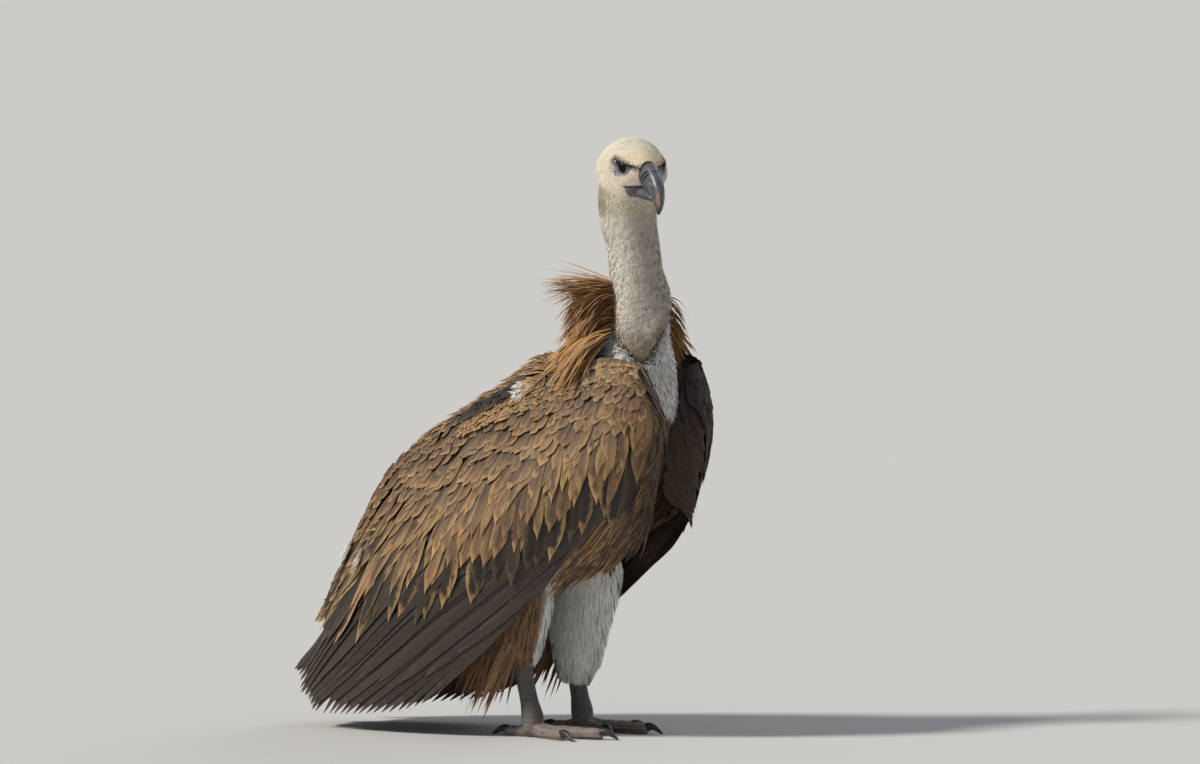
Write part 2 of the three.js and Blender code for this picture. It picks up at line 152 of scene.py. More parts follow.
def spline(points, t):
    """Points at t, from 0 to 1, on the centripetal Catmull-Rom line through points."""
    p = np.asarray(points, float)
    p = np.concatenate([2 * p[:1] - p[1:2], p, 2 * p[-1:] - p[-2:-1]])
    last = len(p) - 4
    s = np.clip(np.asarray(t, float), 0, 1) * (last + 1)
    i = np.minimum(s.astype(int), last)
    f = (s - i).reshape([-1] + [1] * (p.ndim - 1))
    a, b, c, d = (p[i + k] for k in range(4))
    ab, bc, cd = (np.maximum(dot(q - r, q - r) ** 0.25, 1e-6) for q, r in ((b, a), (c, b), (d, c)))
    start = ((b - a) / ab - (c - a) / (ab + bc) + (c - b) / bc) * bc
    end = ((c - b) / bc - (d - b) / (bc + cd) + (d - c) / cd) * bc
    return (
        b
        + start * f
        + (3 * (c - b) - 2 * start - end) * f**2
        + (2 * (b - c) + start + end) * f**3
    )


def through(values, t):
    """The numbers at t on a smooth line through evenly spread numbers."""
    spread = 20.0 * np.arange(len(values))
    return spline(np.column_stack([values, spread, 0 * spread]), t)[:, 0]


# ---------- Places ----------
def row(places):
    """Places given as millimetres (ahead, left, up), in the frame's own axes but not yet shifted."""
    p = np.asarray(places, float)
    return np.stack([p[..., 1], -p[..., 0], p[..., 2]], -1) * MM


def node_middle(name):
    low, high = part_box(name)
    return (np.array(low) + np.array(high)) / 2


SHIFT = (node_middle("eye_right") + node_middle("eye_left")) / 2 - row(HEAD["at"])


def place(places):
    """Places given as millimetres ahead of the feet, to the left and above the ground."""
    return row(places) + SHIFT


def back_to_bird(points):
    """The other way: millimetres ahead, to the left and up."""
    p = (points - SHIFT) / MM
    return np.stack([-p[..., 1], p[..., 0], p[..., 2]], -1)


def height_of(points):
    return back_to_bird(points)[:, 2]


HEAD_TURN = np.array(
    Matrix.Rotation(-math.radians(HEAD["turn"]), 3, "Z")
    @ Matrix.Rotation(math.radians(HEAD["bow"]), 3, "X")
)
HEAD_LEFT = HEAD_TURN @ LEFT
HEAD_AHEAD = HEAD_TURN @ np.array([0.0, -1.0, 0.0])
HEAD_UP = HEAD_TURN @ UP


def in_head(places):
    """Places in the head: millimetres ahead of the eyes, to the left and above them."""
    return row(places) @ HEAD_TURN.T + place(HEAD["at"])


def back_to_head(points):
    p = (points - place(HEAD["at"])) @ HEAD_TURN / MM
    return np.stack([-p[..., 1], p[..., 0], p[..., 2]], -1)


# ---------- Surfaces ----------
class Sheet:
    """A smooth surface over a grid of points, read at (u, v), which may lie a little outside it."""

    def __init__(self, grid, outward, u_range=(0, 1)):
        self.grid = grid
        self.low, self.high = u_range
        rows, columns = grid.shape[:2]
        self.du = np.gradient(grid, axis=0) * (rows - 1) / (self.high - self.low)
        self.dv = np.gradient(grid, axis=1) * (columns - 1)
        self.normal = unit(np.cross(self.dv, self.du)) * outward

    def read(self, values, u, v):
        rows, columns = values.shape[:2]
        x = (u - self.low) / (self.high - self.low) * (rows - 1)
        y = v * (columns - 1)
        i = np.clip(x.astype(int), 0, rows - 2)
        j = np.clip(y.astype(int), 0, columns - 2)
        f, g = (x - i)[..., None], (y - j)[..., None]
        near = between(values[i, j], values[i, j + 1], g)
        far = between(values[i + 1, j], values[i + 1, j + 1], g)
        return between(near, far, f)

    def at(self, u, v):
        inner_u, inner_v = np.clip(u, self.low, self.high), np.clip(v, 0, 1)
        du, dv = self.read(self.du, inner_u, inner_v), self.read(self.dv, inner_u, inner_v)
        point = self.read(self.grid, inner_u, inner_v)
        point = point + du * (u - inner_u)[..., None] + dv * (v - inner_v)[..., None]
        return point, unit(self.read(self.normal, inner_u, inner_v)), du, dv

    def march(self, u, v, flow, length, steps):
        """Lines along the surface from (u, v), heading as flow(u, v) says, of those lengths."""
        lines, normals, spots = [], [], []
        step = length / (steps - 1)
        for _ in range(steps):
            point, normal, du, dv = self.at(u, v)
            lines.append(point)
            normals.append(normal)
            spots.append(np.stack([u, v], -1))
            heading = flat_to(flow(u, v), normal)
            a, b, c = (dot(p, q)[:, 0] for p, q in ((du, du), (du, dv), (dv, dv)))
            e, f = dot(heading, du)[:, 0], dot(heading, dv)[:, 0]
            det = np.maximum(a * c - b * b, 1e-12)
            u = u + step * (e * c - f * b) / det
            v = v + step * (f * a - e * b) / det
        return np.stack(lines, 1), np.stack(normals, 1), np.stack(spots, 1)

    def back_from(self, u, v, flow, length, steps, top=lambda u: -0.01):
        """Lines that end at (u, v), having come as flow(u, v) says, cut short at v = top(u)."""
        reverse = lambda *spot: -flow(*spot)
        spots = self.march(u, v, reverse, length, 31)[2]
        past = (spots[..., 1] < top(spots[..., 0])) | (spots[..., 0] < self.low)
        share = np.where(past.any(1), np.maximum(past.argmax(1), 8), 30) / 30
        lines, normals, _ = self.march(u, v, reverse, length * share, steps)
        return lines[:, ::-1], normals[:, ::-1]


def loft_grid(sections, along, around, across=LEFT):
    """Rings of points of a body through sections (at, over, under, side), as its solid is lofted."""
    at = np.array([s[0] for s in sections])
    t = np.linspace(0, 1, along)
    middle = spline(at, t)
    forward = unit(spline(at, t + 1e-3) - spline(at, t - 1e-3))
    side = flat_to(np.broadcast_to(across, forward.shape), forward)
    top = np.cross(forward, side)
    over, under, wide = (
        np.maximum(through([s[k] for s in sections], t), 0.5) * MM for k in (1, 2, 3)
    )
    angle = np.linspace(0, 2 * math.pi, around, endpoint=False)
    high = np.sin(angle)[None] * np.where(np.sin(angle)[None] > 0, over[:, None], under[:, None])
    out = np.cos(angle)[None] * wide[:, None]
    return middle[:, None] + side[:, None] * out[..., None] + top[:, None] * high[..., None]


def grid_quads(rows, columns):
    """Quads over a grid of points, in the order of its rows."""
    i, j = np.meshgrid(np.arange(rows - 1), np.arange(columns - 1), indexing="ij")
    corner = i * columns + j
    return np.stack([corner, corner + columns, corner + columns + 1, corner + 1], -1).reshape(-1, 4)


def tube_faces(along, around):
    """Quads over rings of points, and a fan over each end, for points in ring order."""
    i, j = np.meshgrid(np.arange(along - 1), np.arange(around), indexing="ij")
    a, b = i * around + j, i * around + (j + 1) % around
    quads = np.stack([a, b, b + around, a + around], -1).reshape(-1, 4).tolist()
    end = (along - 1) * around
    caps = [list(range(around))[::-1], [end + k for k in range(around)]]
    return quads + caps


# ---------- The bird's shape ----------
def sections_at(rows, to=place):
    return [(to(at), over, under, side) for at, over, under, side in rows]


CRANIUM = sections_at([
    ((-66, 0, -22), 19, 24, 23),
    ((-57, 0, -22), 32, 36, 37),
    ((-41, 0, -21), 44.5, 37, 48.5),
    ((-20, 0, -17), 44.5, 34, 47.5),
    ((-4, 0, -11), 37, 31, 42),
    ((10, 0, -8), 29, 31, 31.5),
    ((23, 0, -7), 21, 24, 21),
    ((32, 0, -7), 13, 14, 12),
], in_head)
UPPER_BILL = sections_at([
    ((22, 0, -3), 19, 15, 14),
    ((34, 0, -2), 18, 15, 13.5),
    ((47, 0, -4), 16, 15, 11.5),
    ((60, 0, -8.5), 13.5, 13.5, 10),
    ((70, 0, -15.5), 11, 11.5, 8),
    ((76, 0, -25.5), 7.5, 8, 5.5),
    ((78.5, 0, -36), 1.8, 1.8, 1.6),
], in_head)
LOWER_BILL = sections_at([
    ((6, 0, -31), 6, 8, 21),
    ((14, 0, -29.5), 8, 9, 18.5),
    ((28, 0, -26.5), 8, 9, 14),
    ((42, 0, -24), 7, 7, 10),
    ((55, 0, -22.5), 4.5, 4.5, 7),
    ((61, 0, -21.5), 2, 2, 4),
], in_head)
NECK = sections_at([
    ((104, 0, 452), 46, 50, 46),
    ((114, 0, 500), 42, 44, 45),
    ((120, 0, 548), 42, 40, 42),
    ((118, 1, 600), 41, 36, 38),
    ((112, 1, 650), 38.5, 35, 37),
    ((105, 0, 690), 42, 37, 41),
    ((104, 0, 720), 43, 40, 45),
    ((107, -1, 742), 41, 38, 47),
])
TRUNK = sections_at([
    ((-246, 0, 212), 20, 18, 20),
    ((-222, 0, 236), 62, 44, 46),
    ((-165, 0, 290), 101, 84, 78),
    ((-85, 0, 335), 112, 108, 102),
    ((-5, 0, 366), 128, 124, 112),
    ((62, 0, 400), 140, 100, 104),
    ((104, 0, 448), 112, 66, 88),
    ((118, 0, 492), 92, 48, 68),
    ((118, 0, 528), 66, 41, 54),
    ((116, 0, 552), 42, 40, 43),
])
BILL_MIDDLE = [-3, -2, -4, -8.5, -15.5, -24.5, -33.5]  # its height, from the cere to the tip
LEADING_RIB = [(128, 30, 478), (152, 22, 410), (140, 24, 330)]  # where the wing meets the chest
WING_RIBS = [
    [(150, 50, 486), (182, 50, 416), (166, 48, 318)],
    [(158, 72, 499), (187, 85, 422), (160, 84, 290)],
    [(118, 86, 508), (152, 127, 392), (124, 106, 252)],
    [(55, 84, 492), (84, 146, 352), (62, 122, 210)],
    [(-20, 74, 466), (-2, 156, 308), (-4, 131, 165)],
    [(-100, 60, 436), (-84, 154, 264), (-62, 134, 106)],
    [(-178, 42, 398), (-158, 143, 216), (-118, 130, 58)],
    [(-252, 28, 342), (-220, 126, 168), (-174, 120, 34)],
    [(-305, 22, 258), (-272, 108, 124), (-232, 110, 26)],
    [(-351, 24, 164), (-316, 92, 88), (-282, 98, 22)],
    [(-384, 38, 92), (-358, 70, 52), (-326, 84, 20)],
]
RAISED_TOPS = {"right": {}, "left": {1: (166, 88, 498), 2: (124, 98, 507)}}
RAISED_EDGES = {
    "right": {2: (124, 106, 262), 3: (62, 124, 234), 4: (-4, 132, 174), 5: (-62, 134, 118)},
    "left": {},
}
COVERTS_END = ([0, 0.2, 0.4, 0.62, 0.8, 0.9, 1], [0.84, 0.86, 0.8, 0.62, 0.48, 0.34, 0.2])
TAIL_LINE = [(-212, 0, 232), (-262, 0, 190), (-316, 0, 128), (-352, 0, 62)]
TAIL_HALF = [30, 46, 56, 60]
TAIL_ARCH = 14


def by_leg(name, at):
    """A place by a leg: ahead of its foot, outward of it, and above the ground."""
    ahead, out, up = at
    return (FOOT_AHEAD[name] + ahead, SIDES[name] * (LEG["left_of_middle"] + out), up)


def thigh_sections(name):
    behind = -10 if name == "right" else 0
    hem = HEM[name]
    rows = [
        ((behind - 4, 14, 290), 42, 48, 34),
        ((behind - 2, 17, 245), 54, 60, 40),
        ((behind - 6, 13, 190), 53, 62, 38),
        ((behind - 10, 8, 145), 46, 52, 34),
        ((behind * 0.5 - 14, 4, hem + 30), 37, 34, 29),
        ((-20, 1, hem), 24, 17, 18),
    ]
    return sections_at(rows, lambda at: place(by_leg(name, at)))


def wing_sheet(name, side):
    """The outer face of a folded wing. u runs from the chest (-0.1) by the wrist (0) to the tips (1)."""
    t = np.linspace(0, 1, 60)
    ribs = [LEADING_RIB]
    for i, (top, middle, edge) in enumerate(WING_RIBS):
        ribs.append((RAISED_TOPS[name].get(i, top), middle, RAISED_EDGES[name].get(i, edge)))
    ribs = np.stack([spline(place(rib), t) for rib in ribs])
    grid = spline(ribs, np.linspace(0, 1, 180))
    grid = (grid - SHIFT) * [side, 1, 1] + SHIFT
    return Sheet(grid, side, (-0.1, 1))


def tail_sheet():
    """The upper face of the tail. u runs from its right edge (-1) to its left, v from root to tips."""
    t = np.linspace(0, 1, 40)
    line = spline(place(TAIL_LINE), t)
    out = np.cross(LEFT, unit(np.gradient(line, axis=0)))
    out = out * np.sign(out[:, 2:])
    share = np.linspace(-1, 1, 41)
    half = through(TAIL_HALF, t) * MM
    grid = line[None] + LEFT * (share[:, None] * half)[..., None]
    grid = grid - out[None] * (TAIL_ARCH * MM * share**2)[:, None, None]
    return Sheet(grid, -1, (-1, 1))


WINGS = {name: wing_sheet(name, side) for name, side in SIDES.items()}
FIRST_ROW = {"right": 0, "left": 15}  # of the wing's face that feathers of the wing cover
TAIL = tail_sheet()


# ---------- Meshes ----------
def new_object(name, data, material=None):
    piece = bpy.data.objects.new(name, data)
    bpy.context.scene.collection.objects.link(piece)
    if material is not None:
        data.materials.append(material)
    return piece


def orient(piece, back):
    """Turns a light or a camera so that its back is to this direction."""
    piece.rotation_mode = "QUATERNION"
    piece.rotation_quaternion = back.to_track_quat("Z", "Y")


def mesh_of(name, points, faces):
    """A mesh from points and faces, which are an array of quads or lists of any length."""
    mesh = bpy.data.meshes.new(name)
    if isinstance(faces, np.ndarray):
        mesh.vertices.add(len(points))
        mesh.vertices.foreach_set("co", np.ascontiguousarray(points, np.float32).ravel())
        mesh.loops.add(faces.size)
        mesh.loops.foreach_set("vertex_index", faces.ravel().astype(np.int32))
        mesh.polygons.add(len(faces))
        starts = np.arange(0, faces.size, faces.shape[1], dtype=np.int32)
        mesh.polygons.foreach_set("loop_start", starts)
        mesh.update(calc_edges=True)
    else:
        mesh.from_pydata(np.asarray(points).tolist(), [], faces)
    smooth(mesh)
    return mesh


def loft_mesh(name, sections, along, around, across=LEFT):
    grid = loft_grid(sections, along, around, across)
    return mesh_of(name, grid.reshape(-1, 3), tube_faces(along, around))


def points_of(mesh, what="co"):
    values = np.empty(len(mesh.vertices) * 3, np.float32)
    mesh.vertices.foreach_get(what, values)
    return values.reshape(-1, 3).astype(float)


def normals_of(mesh):
    return points_of(mesh, "normal")


def set_points(mesh, points):
    mesh.vertices.foreach_set("co", np.ascontiguousarray(points, np.float32).ravel())
    mesh.update()


def smooth(mesh):
    mesh.polygons.foreach_set("use_smooth", np.ones(len(mesh.polygons), bool))
    mesh.update()


def dress(mesh, material):
    """Gives a mesh this material alone."""
    mesh.materials.clear()
    mesh.materials.append(material)


def paint(mesh, name, colours):
    """A colour for each vertex, under this name."""
    rgba = np.ones((len(mesh.vertices), 4), np.float32)
    rgba[:, :3] = np.clip(colours, 0, 1)
    layer = mesh.color_attributes.new(name=name, type="FLOAT_COLOR", domain="POINT")
    layer.data.foreach_set("color", rgba.ravel())


def lay_out(mesh, name, uv):
    """A UV map from one (u, v) for each vertex."""
    corner = np.empty(len(mesh.loops), np.int32)
    mesh.loops.foreach_get("vertex_index", corner)
    layer = mesh.uv_layers.new(name=name)
    layer.data.foreach_set("uv", np.ascontiguousarray(uv[corner], np.float32).ravel())


def with_modifier(piece, kind, **settings):
    """The piece's mesh with a modifier applied."""
    modifier = piece.modifiers.new(kind.title(), kind)
    for key, value in settings.items():
        setattr(modifier, key, value)
    shape = piece.evaluated_get(bpy.context.evaluated_depsgraph_get())
    made = bpy.data.meshes.new_from_object(shape)
    piece.modifiers.clear()
    piece.data = made
    return made


def remeshed(name, meshes, voxel, smoothing):
    """One closed mesh round several."""
    joined = bmesh.new()
    for mesh in meshes:
        joined.from_mesh(mesh)
    whole = bpy.data.meshes.new(name)
    joined.to_mesh(whole)
    joined.free()
    piece = new_object(name, whole)
    with_modifier(piece, "REMESH", mode="VOXEL", voxel_size=voxel, use_smooth_shade=True)
    with_modifier(piece, "SMOOTH", iterations=smoothing, factor=0.5)
    return piece


# ---------- Shaders ----------
class Shader:
    """A material whose nodes are made one call at a time."""

    def __init__(self, name, **settings):
        self.material = bpy.data.materials.new(name)
        self.material.use_nodes = True
        self.nodes = self.material.node_tree.nodes
        self.surface = self.nodes["Principled BSDF"]
        for socket, value in settings.items():
            self.surface.inputs[socket.replace("_", " ")].default_value = value

    def join(self, value, socket):
        if isinstance(value, bpy.types.NodeSocket):
            self.material.node_tree.links.new(value, socket)
        else:
            socket.default_value = value

    def add(self, kind, inputs=(), **properties):
        node = self.nodes.new("ShaderNode" + kind)
        for key, value in properties.items():
            setattr(node, key, value)
        for key, value in dict(inputs).items():
            self.join(value, node.inputs[key])
        return node

    def math(self, operation, *values, clamp=False):
        node = self.add("Math", enumerate(values), operation=operation, use_clamp=clamp)
        return node.outputs[0]

    def smooth(self, value, low, high):
        """0 where value is low and 1 where it is high."""
        inputs = {"Value": value, "From Min": low, "From Max": high}
        node = self.add("MapRange", inputs, interpolation_type="SMOOTHSTEP")
        return node.outputs[0]

    def mix(self, factor, a, b, blend_type="MIX"):
        node = self.add("Mix", data_type="RGBA", blend_type=blend_type)
        self.join(factor, node.inputs[0])
        self.join(a, node.inputs[6])
        self.join(b, node.inputs[7])
        return node.outputs[2]

    def painted(self, name):
        return self.add("Attribute", attribute_name=name, attribute_type="GEOMETRY").outputs["Color"]

    def noise(self, scale, detail=3, vector=None):
        inputs = {"Scale": scale, "Detail": detail}
        inputs["Vector"] = vector or self.add("TexCoord").outputs["Object"]
        return self.add("TexNoise", inputs).outputs[0]

    def times(self, colour, value, factor, plus):
        """A colour multiplied by value * factor + plus."""
        strength = self.math("MULTIPLY_ADD", value, factor, plus)
        grey = self.add("CombineXYZ", enumerate([strength] * 3)).outputs[0]
        return self.mix(1.0, colour, grey, "MULTIPLY")

    def tinted(self, colour, value, depth):
        """A colour made lighter and darker by a value from 0 to 1."""
        return self.times(colour, value, 2 * depth, 1 - depth)

    def bump(self, height, distance, strength=1.0):
        node = self.add("Bump", {"Height": height, "Distance": distance, "Strength": strength})
        self.join(node.outputs[0], self.surface.inputs["Normal"])

    def finish(self, colour, roughness=None):
        self.join(colour, self.surface.inputs["Base Color"])
        if roughness is not None:
            self.join(roughness, self.surface.inputs["Roughness"])
        return self.material


def vane_material(name, rim_from, barbs, shaft, overlap_shade=(0.0, 0.0), **settings):
    """Feathers: a tint in the middle, a rim colour at the edge and tip, fine barbs, and a shaft. Painted
    shade darkens them where the next row lies over them, up to the given stretch along each."""
    s = Shader(name, **settings)
    place_on_vane = s.add("SeparateXYZ", {0: s.add("UVMap", uv_map="Vane").outputs[0]})
    across, along = place_on_vane.outputs[0], place_on_vane.outputs[1]
    side = s.math("ABSOLUTE", s.math("MULTIPLY_ADD", across, 2.0, -1.0))
    uneven = s.math("MULTIPLY_ADD", s.noise(150.0, 4), 0.7, -0.35)
    tip = s.smooth(along, 0.62, 1.02)
    edge = s.math("ADD", s.math("MAXIMUM", side, tip), uneven)
    rim = s.smooth(edge, rim_from, rim_from + 0.5)
    colour = s.mix(rim, s.painted("tint"), s.painted("rim"))
    slant = s.math("MULTIPLY_ADD", side, -0.16, along)
    streak = s.add("CombineXYZ", {0: s.math("MULTIPLY", slant, barbs), 1: s.math("MULTIPLY", side, 1.4)})
    barb = s.noise(1.0, 2, streak.outputs[0])
    colour = s.tinted(colour, barb, 0.34)
    colour = s.tinted(colour, s.noise(60.0, 2), 0.2)
    on_shaft = s.math("MULTIPLY", s.smooth(side, 0.09, 0.02), s.smooth(along, 1.0, 0.8))
    colour = s.mix(s.math("MULTIPLY", on_shaft, 0.6), colour, (*shaft, 1))
    # painted shade: each feather darker towards its root, where the next row lies over it
    if overlap_shade[1]:
        colour = s.times(colour, s.smooth(along, *overlap_shade), 0.5, 0.5)
    s.bump(s.math("ADD", barb, on_shaft), 0.0004, 0.6)
    return s.finish(colour)


def down_material(name, **settings):
    """Soft down, coloured by its tint."""
    s = Shader(name, **settings)
    colour = s.tinted(s.painted("tint"), s.noise(260.0, 3), 0.22)
    return s.finish(colour)


def skin_material():
    s = Shader("skin", Roughness=0.75, Specular_IOR_Level=0.3)
    wrinkle = s.noise(420.0, 5)
    colour = s.tinted(s.painted("tint"), wrinkle, 0.3)
    s.bump(wrinkle, 0.0008, 0.6)
    return s.finish(colour)


def horn_material(name, roughness):
    """Horn: its own tint, with faint growth lines and worn patches."""
    s = Shader(name)
    grain = s.noise(190.0, 5)
    fine = s.noise(900.0, 3)
    colour = s.tinted(s.painted("tint"), grain, 0.4)
    s.bump(s.math("ADD", grain, s.math("MULTIPLY", fine, 0.3)), 0.0004, 0.5)
    return s.finish(colour, s.math("MULTIPLY_ADD", grain, 0.25, roughness - 0.1))


def scute_material():
    """Dry scales, darker in the grooves between them."""
    s = Shader("scutes", Roughness=0.62)
    dust = s.noise(160.0, 5)
    colour = s.tinted(s.painted("tint"), dust, 0.35)
    s.bump(s.noise(700.0, 4), 0.0005, 0.6)
    return s.finish(colour)


def floor_material():
    s = Shader("floor", Roughness=0.85, Specular_IOR_Level=0.1)
    colour = s.tinted((0.62, 0.61, 0.585, 1), s.noise(1.5, 2), 0.015)
    return s.finish(colour)


# ---------- Feathers ----------
SHAPES = {  # how wide a feather is along its length, as shares of its widest
    "round": ([0, 0.2, 0.5, 0.75, 0.9, 0.97, 1], [0.4, 0.8, 1, 0.98, 0.8, 0.5, 0.12]),
    "pointed": ([0, 0.2, 0.5, 0.7, 0.85, 0.95, 1], [0.35, 0.8, 1, 0.88, 0.55, 0.25, 0.05]),
    "lance": ([0, 0.15, 0.4, 0.7, 0.9, 1], [0.35, 0.85, 1, 0.66, 0.28, 0.05]),
    "flight": ([0, 0.1, 0.5, 0.8, 0.93, 1], [0.6, 0.9, 1, 0.94, 0.62, 0.12]),
    "tuft": ([0, 0.4, 1], [0.7, 1, 0.12]),
}


class Coat:
    """Feathers gathered into one mesh. Each is a strip of quads along a middle line of its own."""

    def __init__(self, name, patch=0.003):
        self.name = name
        self.patch = patch
        self.parts = []

    def add(self, line, normal, half, shape, tint, rim, root, rng, columns=3,
            camber=0.3, roll=0.0, lag=0.06, ragged=0.03, soft=0.0):
        """Adds n feathers: middle lines (n, k, 3) with the normals there, half widths (n,), colours
        (n, 3), and each root's place on the body's unwrap (n, 2)."""
        count, rows = line.shape[:2]
        along = np.linspace(0, 1, rows)
        s = np.linspace(-1, 1, columns)
        width = np.broadcast_to(half, (count,))[:, None] * np.interp(along, *SHAPES[shape])
        tangent = unit(np.gradient(line, axis=1))
        side = unit(np.cross(normal, tangent))
        upright = np.cross(tangent, side)
        length = np.linalg.norm(np.diff(line, axis=1), axis=2).sum(1)
        across = width[..., None] * s
        roll = np.broadcast_to(roll, (count,))
        lift = width[..., None] * (-camber * s**2 + roll[:, None, None] * s)
        behind = lag * length[:, None, None] * s**2 * along[:, None] ** 3
        behind = behind + rng.normal(0, ragged, behind.shape) * width[..., None] * np.abs(s)
        points = (
            line[:, :, None]
            + side[:, :, None] * across[..., None]
            + upright[:, :, None] * lift[..., None]
            - tangent[:, :, None] * behind[..., None]
        )
        quads = grid_quads(rows, columns) + (np.arange(count) * rows * columns)[:, None, None]
        vane = np.stack(np.broadcast_arrays((s + 1) / 2, along[:, None]), -1)
        bake = np.asarray(root)[:, None, None] * (1 - self.patch) + (0.05 + 0.9 * vane) * self.patch
        each = rows * columns
        shading = None
        if soft:
            own = np.broadcast_to(upright[:, :, None], points.shape)
            outward = np.broadcast_to(normal[:, :1, None], points.shape)
            shading = unit(own * (1 - soft) + outward * soft).reshape(-1, 3)
        self.parts.append({
            "points": points.reshape(-1, 3),
            "quads": quads.reshape(-1, 4),
            "vane": np.broadcast_to(vane, (count, rows, columns, 2)).reshape(-1, 2),
            "bake": bake.reshape(-1, 2),
            "tint": np.repeat(tint, each, 0),
            "rim": np.repeat(rim, each, 0),
            "shading": shading,
        })

    def build(self, material, slot, *replaced):
        """The one piece that all the feathers make."""
        offset = 0
        quads = []
        for part in self.parts:
            quads.append(part["quads"] + offset)
            offset += len(part["points"])
        whole = {key: np.concatenate([p[key] for p in self.parts]) for key in
                 ("points", "vane", "bake", "tint", "rim")}
        mesh = mesh_of(self.name, whole["points"], np.concatenate(quads))
        lay_out(mesh, "OFBake", whole["bake"])
        lay_out(mesh, "Vane", whole["vane"])
        paint(mesh, "tint", whole["tint"])
        paint(mesh, "rim", whole["rim"])
        if all(p["shading"] is not None for p in self.parts):
            shading = np.concatenate([p["shading"] for p in self.parts])
            mesh.normals_split_custom_set_from_vertices(shading.tolist())
        piece = new_object(self.name, mesh, material)
        return declare(piece, slot, *replaced)


def declare(piece, slot, *replaced):
    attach(piece, "root")
    if replaced:
        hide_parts(*replaced)
    return piece


def raised(line, normal, root, tip, bend=1.0):
    """Lines lifted off the surface, from root at their start to tip at their end."""
    along = np.linspace(0, 1, line.shape[1]) ** bend
    root, tip = (np.broadcast_to(h, (len(line),))[:, None] for h in (root, tip))
    return line + normal * (root + (tip - root) * along)[..., None] * MM


def vary(colour, count, rng, depth=0.12, hue=0.03):
    """Copies of a colour, each a little lighter, darker or warmer."""
    colour = np.broadcast_to(colour, (count, 3))
    light = np.exp(rng.normal(0, depth, (count, 1)))
    return np.clip(colour * light * np.exp(rng.normal(0, hue, (count, 3))), 0, 1)


# ---------- Colours ----------
GOLD = srgb(180, 144, 92)
TAN = srgb(140, 108, 72)
BROWN = srgb(96, 75, 57)
DARK_BROWN = srgb(68, 53, 44)
FLIGHT = srgb(44, 37, 30)
# the flight feathers' rims: partly their own paler edge, partly a painted highlight where each raised edge
# catches the light
FLIGHT_EDGE_AND_HIGHLIGHT = srgb(84, 70, 56)
RUFOUS = srgb(138, 96, 62)
WHITE = srgb(234, 232, 226)
CREAM = srgb(240, 232, 212)
OCHRE = srgb(214, 178, 118)
SLATE = srgb(84, 85, 94)
PALE_SHAFT = srgb(168, 132, 92)
DARK_SHAFT = srgb(40, 32, 28)
FOREHEAD = srgb(232, 196, 144)
ROUND_EYE = srgb(206, 172, 130)
NECK_WHITE = srgb(238, 232, 219)
DIRT_AND_SHADE = srgb(186, 176, 158)
MOTTLE = srgb(164, 154, 138)
THROAT_SHADE = srgb(152, 138, 90)
POUCH_TINT_AND_SHADE = srgb(150, 130, 94)
BROW_SHADE = srgb(158, 130, 98)
BROW = srgb(50, 40, 34)
BRISTLE = srgb(46, 38, 33)
UNDER_BROW_SHADOW = srgb(26, 21, 20)
LORES = srgb(172, 146, 124)
FOLD_CREASE_SHADE = srgb(66, 66, 73)
FOLD_RIDGE_LIGHT = srgb(168, 170, 176)
JAW_PALE = srgb(136, 126, 130)
JAW_DARK = srgb(76, 69, 75)
LIP_RIDGE_HIGHLIGHT = srgb(190, 174, 164)
GAPE_SHADE = srgb(56, 47, 49)
PLUME_DARK = srgb(94, 62, 42)
PLUME = srgb(160, 106, 64)
PLUME_GOLD = srgb(206, 160, 104)
PLUME_RIM = srgb(202, 162, 108)
CREASE_SHADE = srgb(56, 43, 34)
HOLLOW_SHADE = srgb(50, 38, 30)
CHEST_GREY = srgb(150, 144, 130)
SHOULDER_LIGHT = srgb(168, 136, 100)
SHOULDER_LIGHT_RIM = srgb(206, 172, 128)
TUFT_GOLD = srgb(214, 170, 116)
CERE = srgb(88, 88, 96)
CERE_GROOVE_SHADE = srgb(40, 36, 38)
BILL_BASE = srgb(34, 31, 33)
BILL_TIP = srgb(46, 46, 50)
WORN = srgb(142, 138, 140)
CULMEN = srgb(170, 138, 114)
NOSTRIL_SHADE = srgb(9, 8, 9)
NOSTRIL_BAR = srgb(132, 132, 140)
MANDIBLE = srgb(104, 96, 100)
PUPIL = srgb(5, 5, 6)
IRIS = srgb(26, 18, 14)
IRIS_STREAK = srgb(46, 31, 22)
IRIS_EDGE = srgb(16, 11, 10)
EYEBALL = srgb(60, 46, 42)
LID = srgb(116, 119, 127)
LID_PALE = srgb(150, 156, 170)
LID_GROOVE_SHADE = srgb(58, 58, 68)
UPPER_LID_SHADOW = srgb(34, 27, 25)
SHANK = srgb(100, 95, 94)
TOE = srgb(128, 116, 108)
CLAW_HORN = srgb(48, 43, 40)
# painted shadow for feathers in the gap between the mantle and the right wing
SLOT_SHADOW = (FLIGHT * 0.4, FLIGHT * 0.5)


# ---------- Skin ----------
def coat_depth(points):
    """How far the skin lies inside the outline of the coat, in metres."""
    ahead, _, above_eye = back_to_head(points).T
    on_head = ramp(above_eye, -75, -45)
    face = ramp(ahead, -20, 15) * on_head
    depth = between(6.5, 3.8, ramp(height_of(points), 520, 570))
    return between(between(depth, 3.2, on_head), 1.2, face) * MM


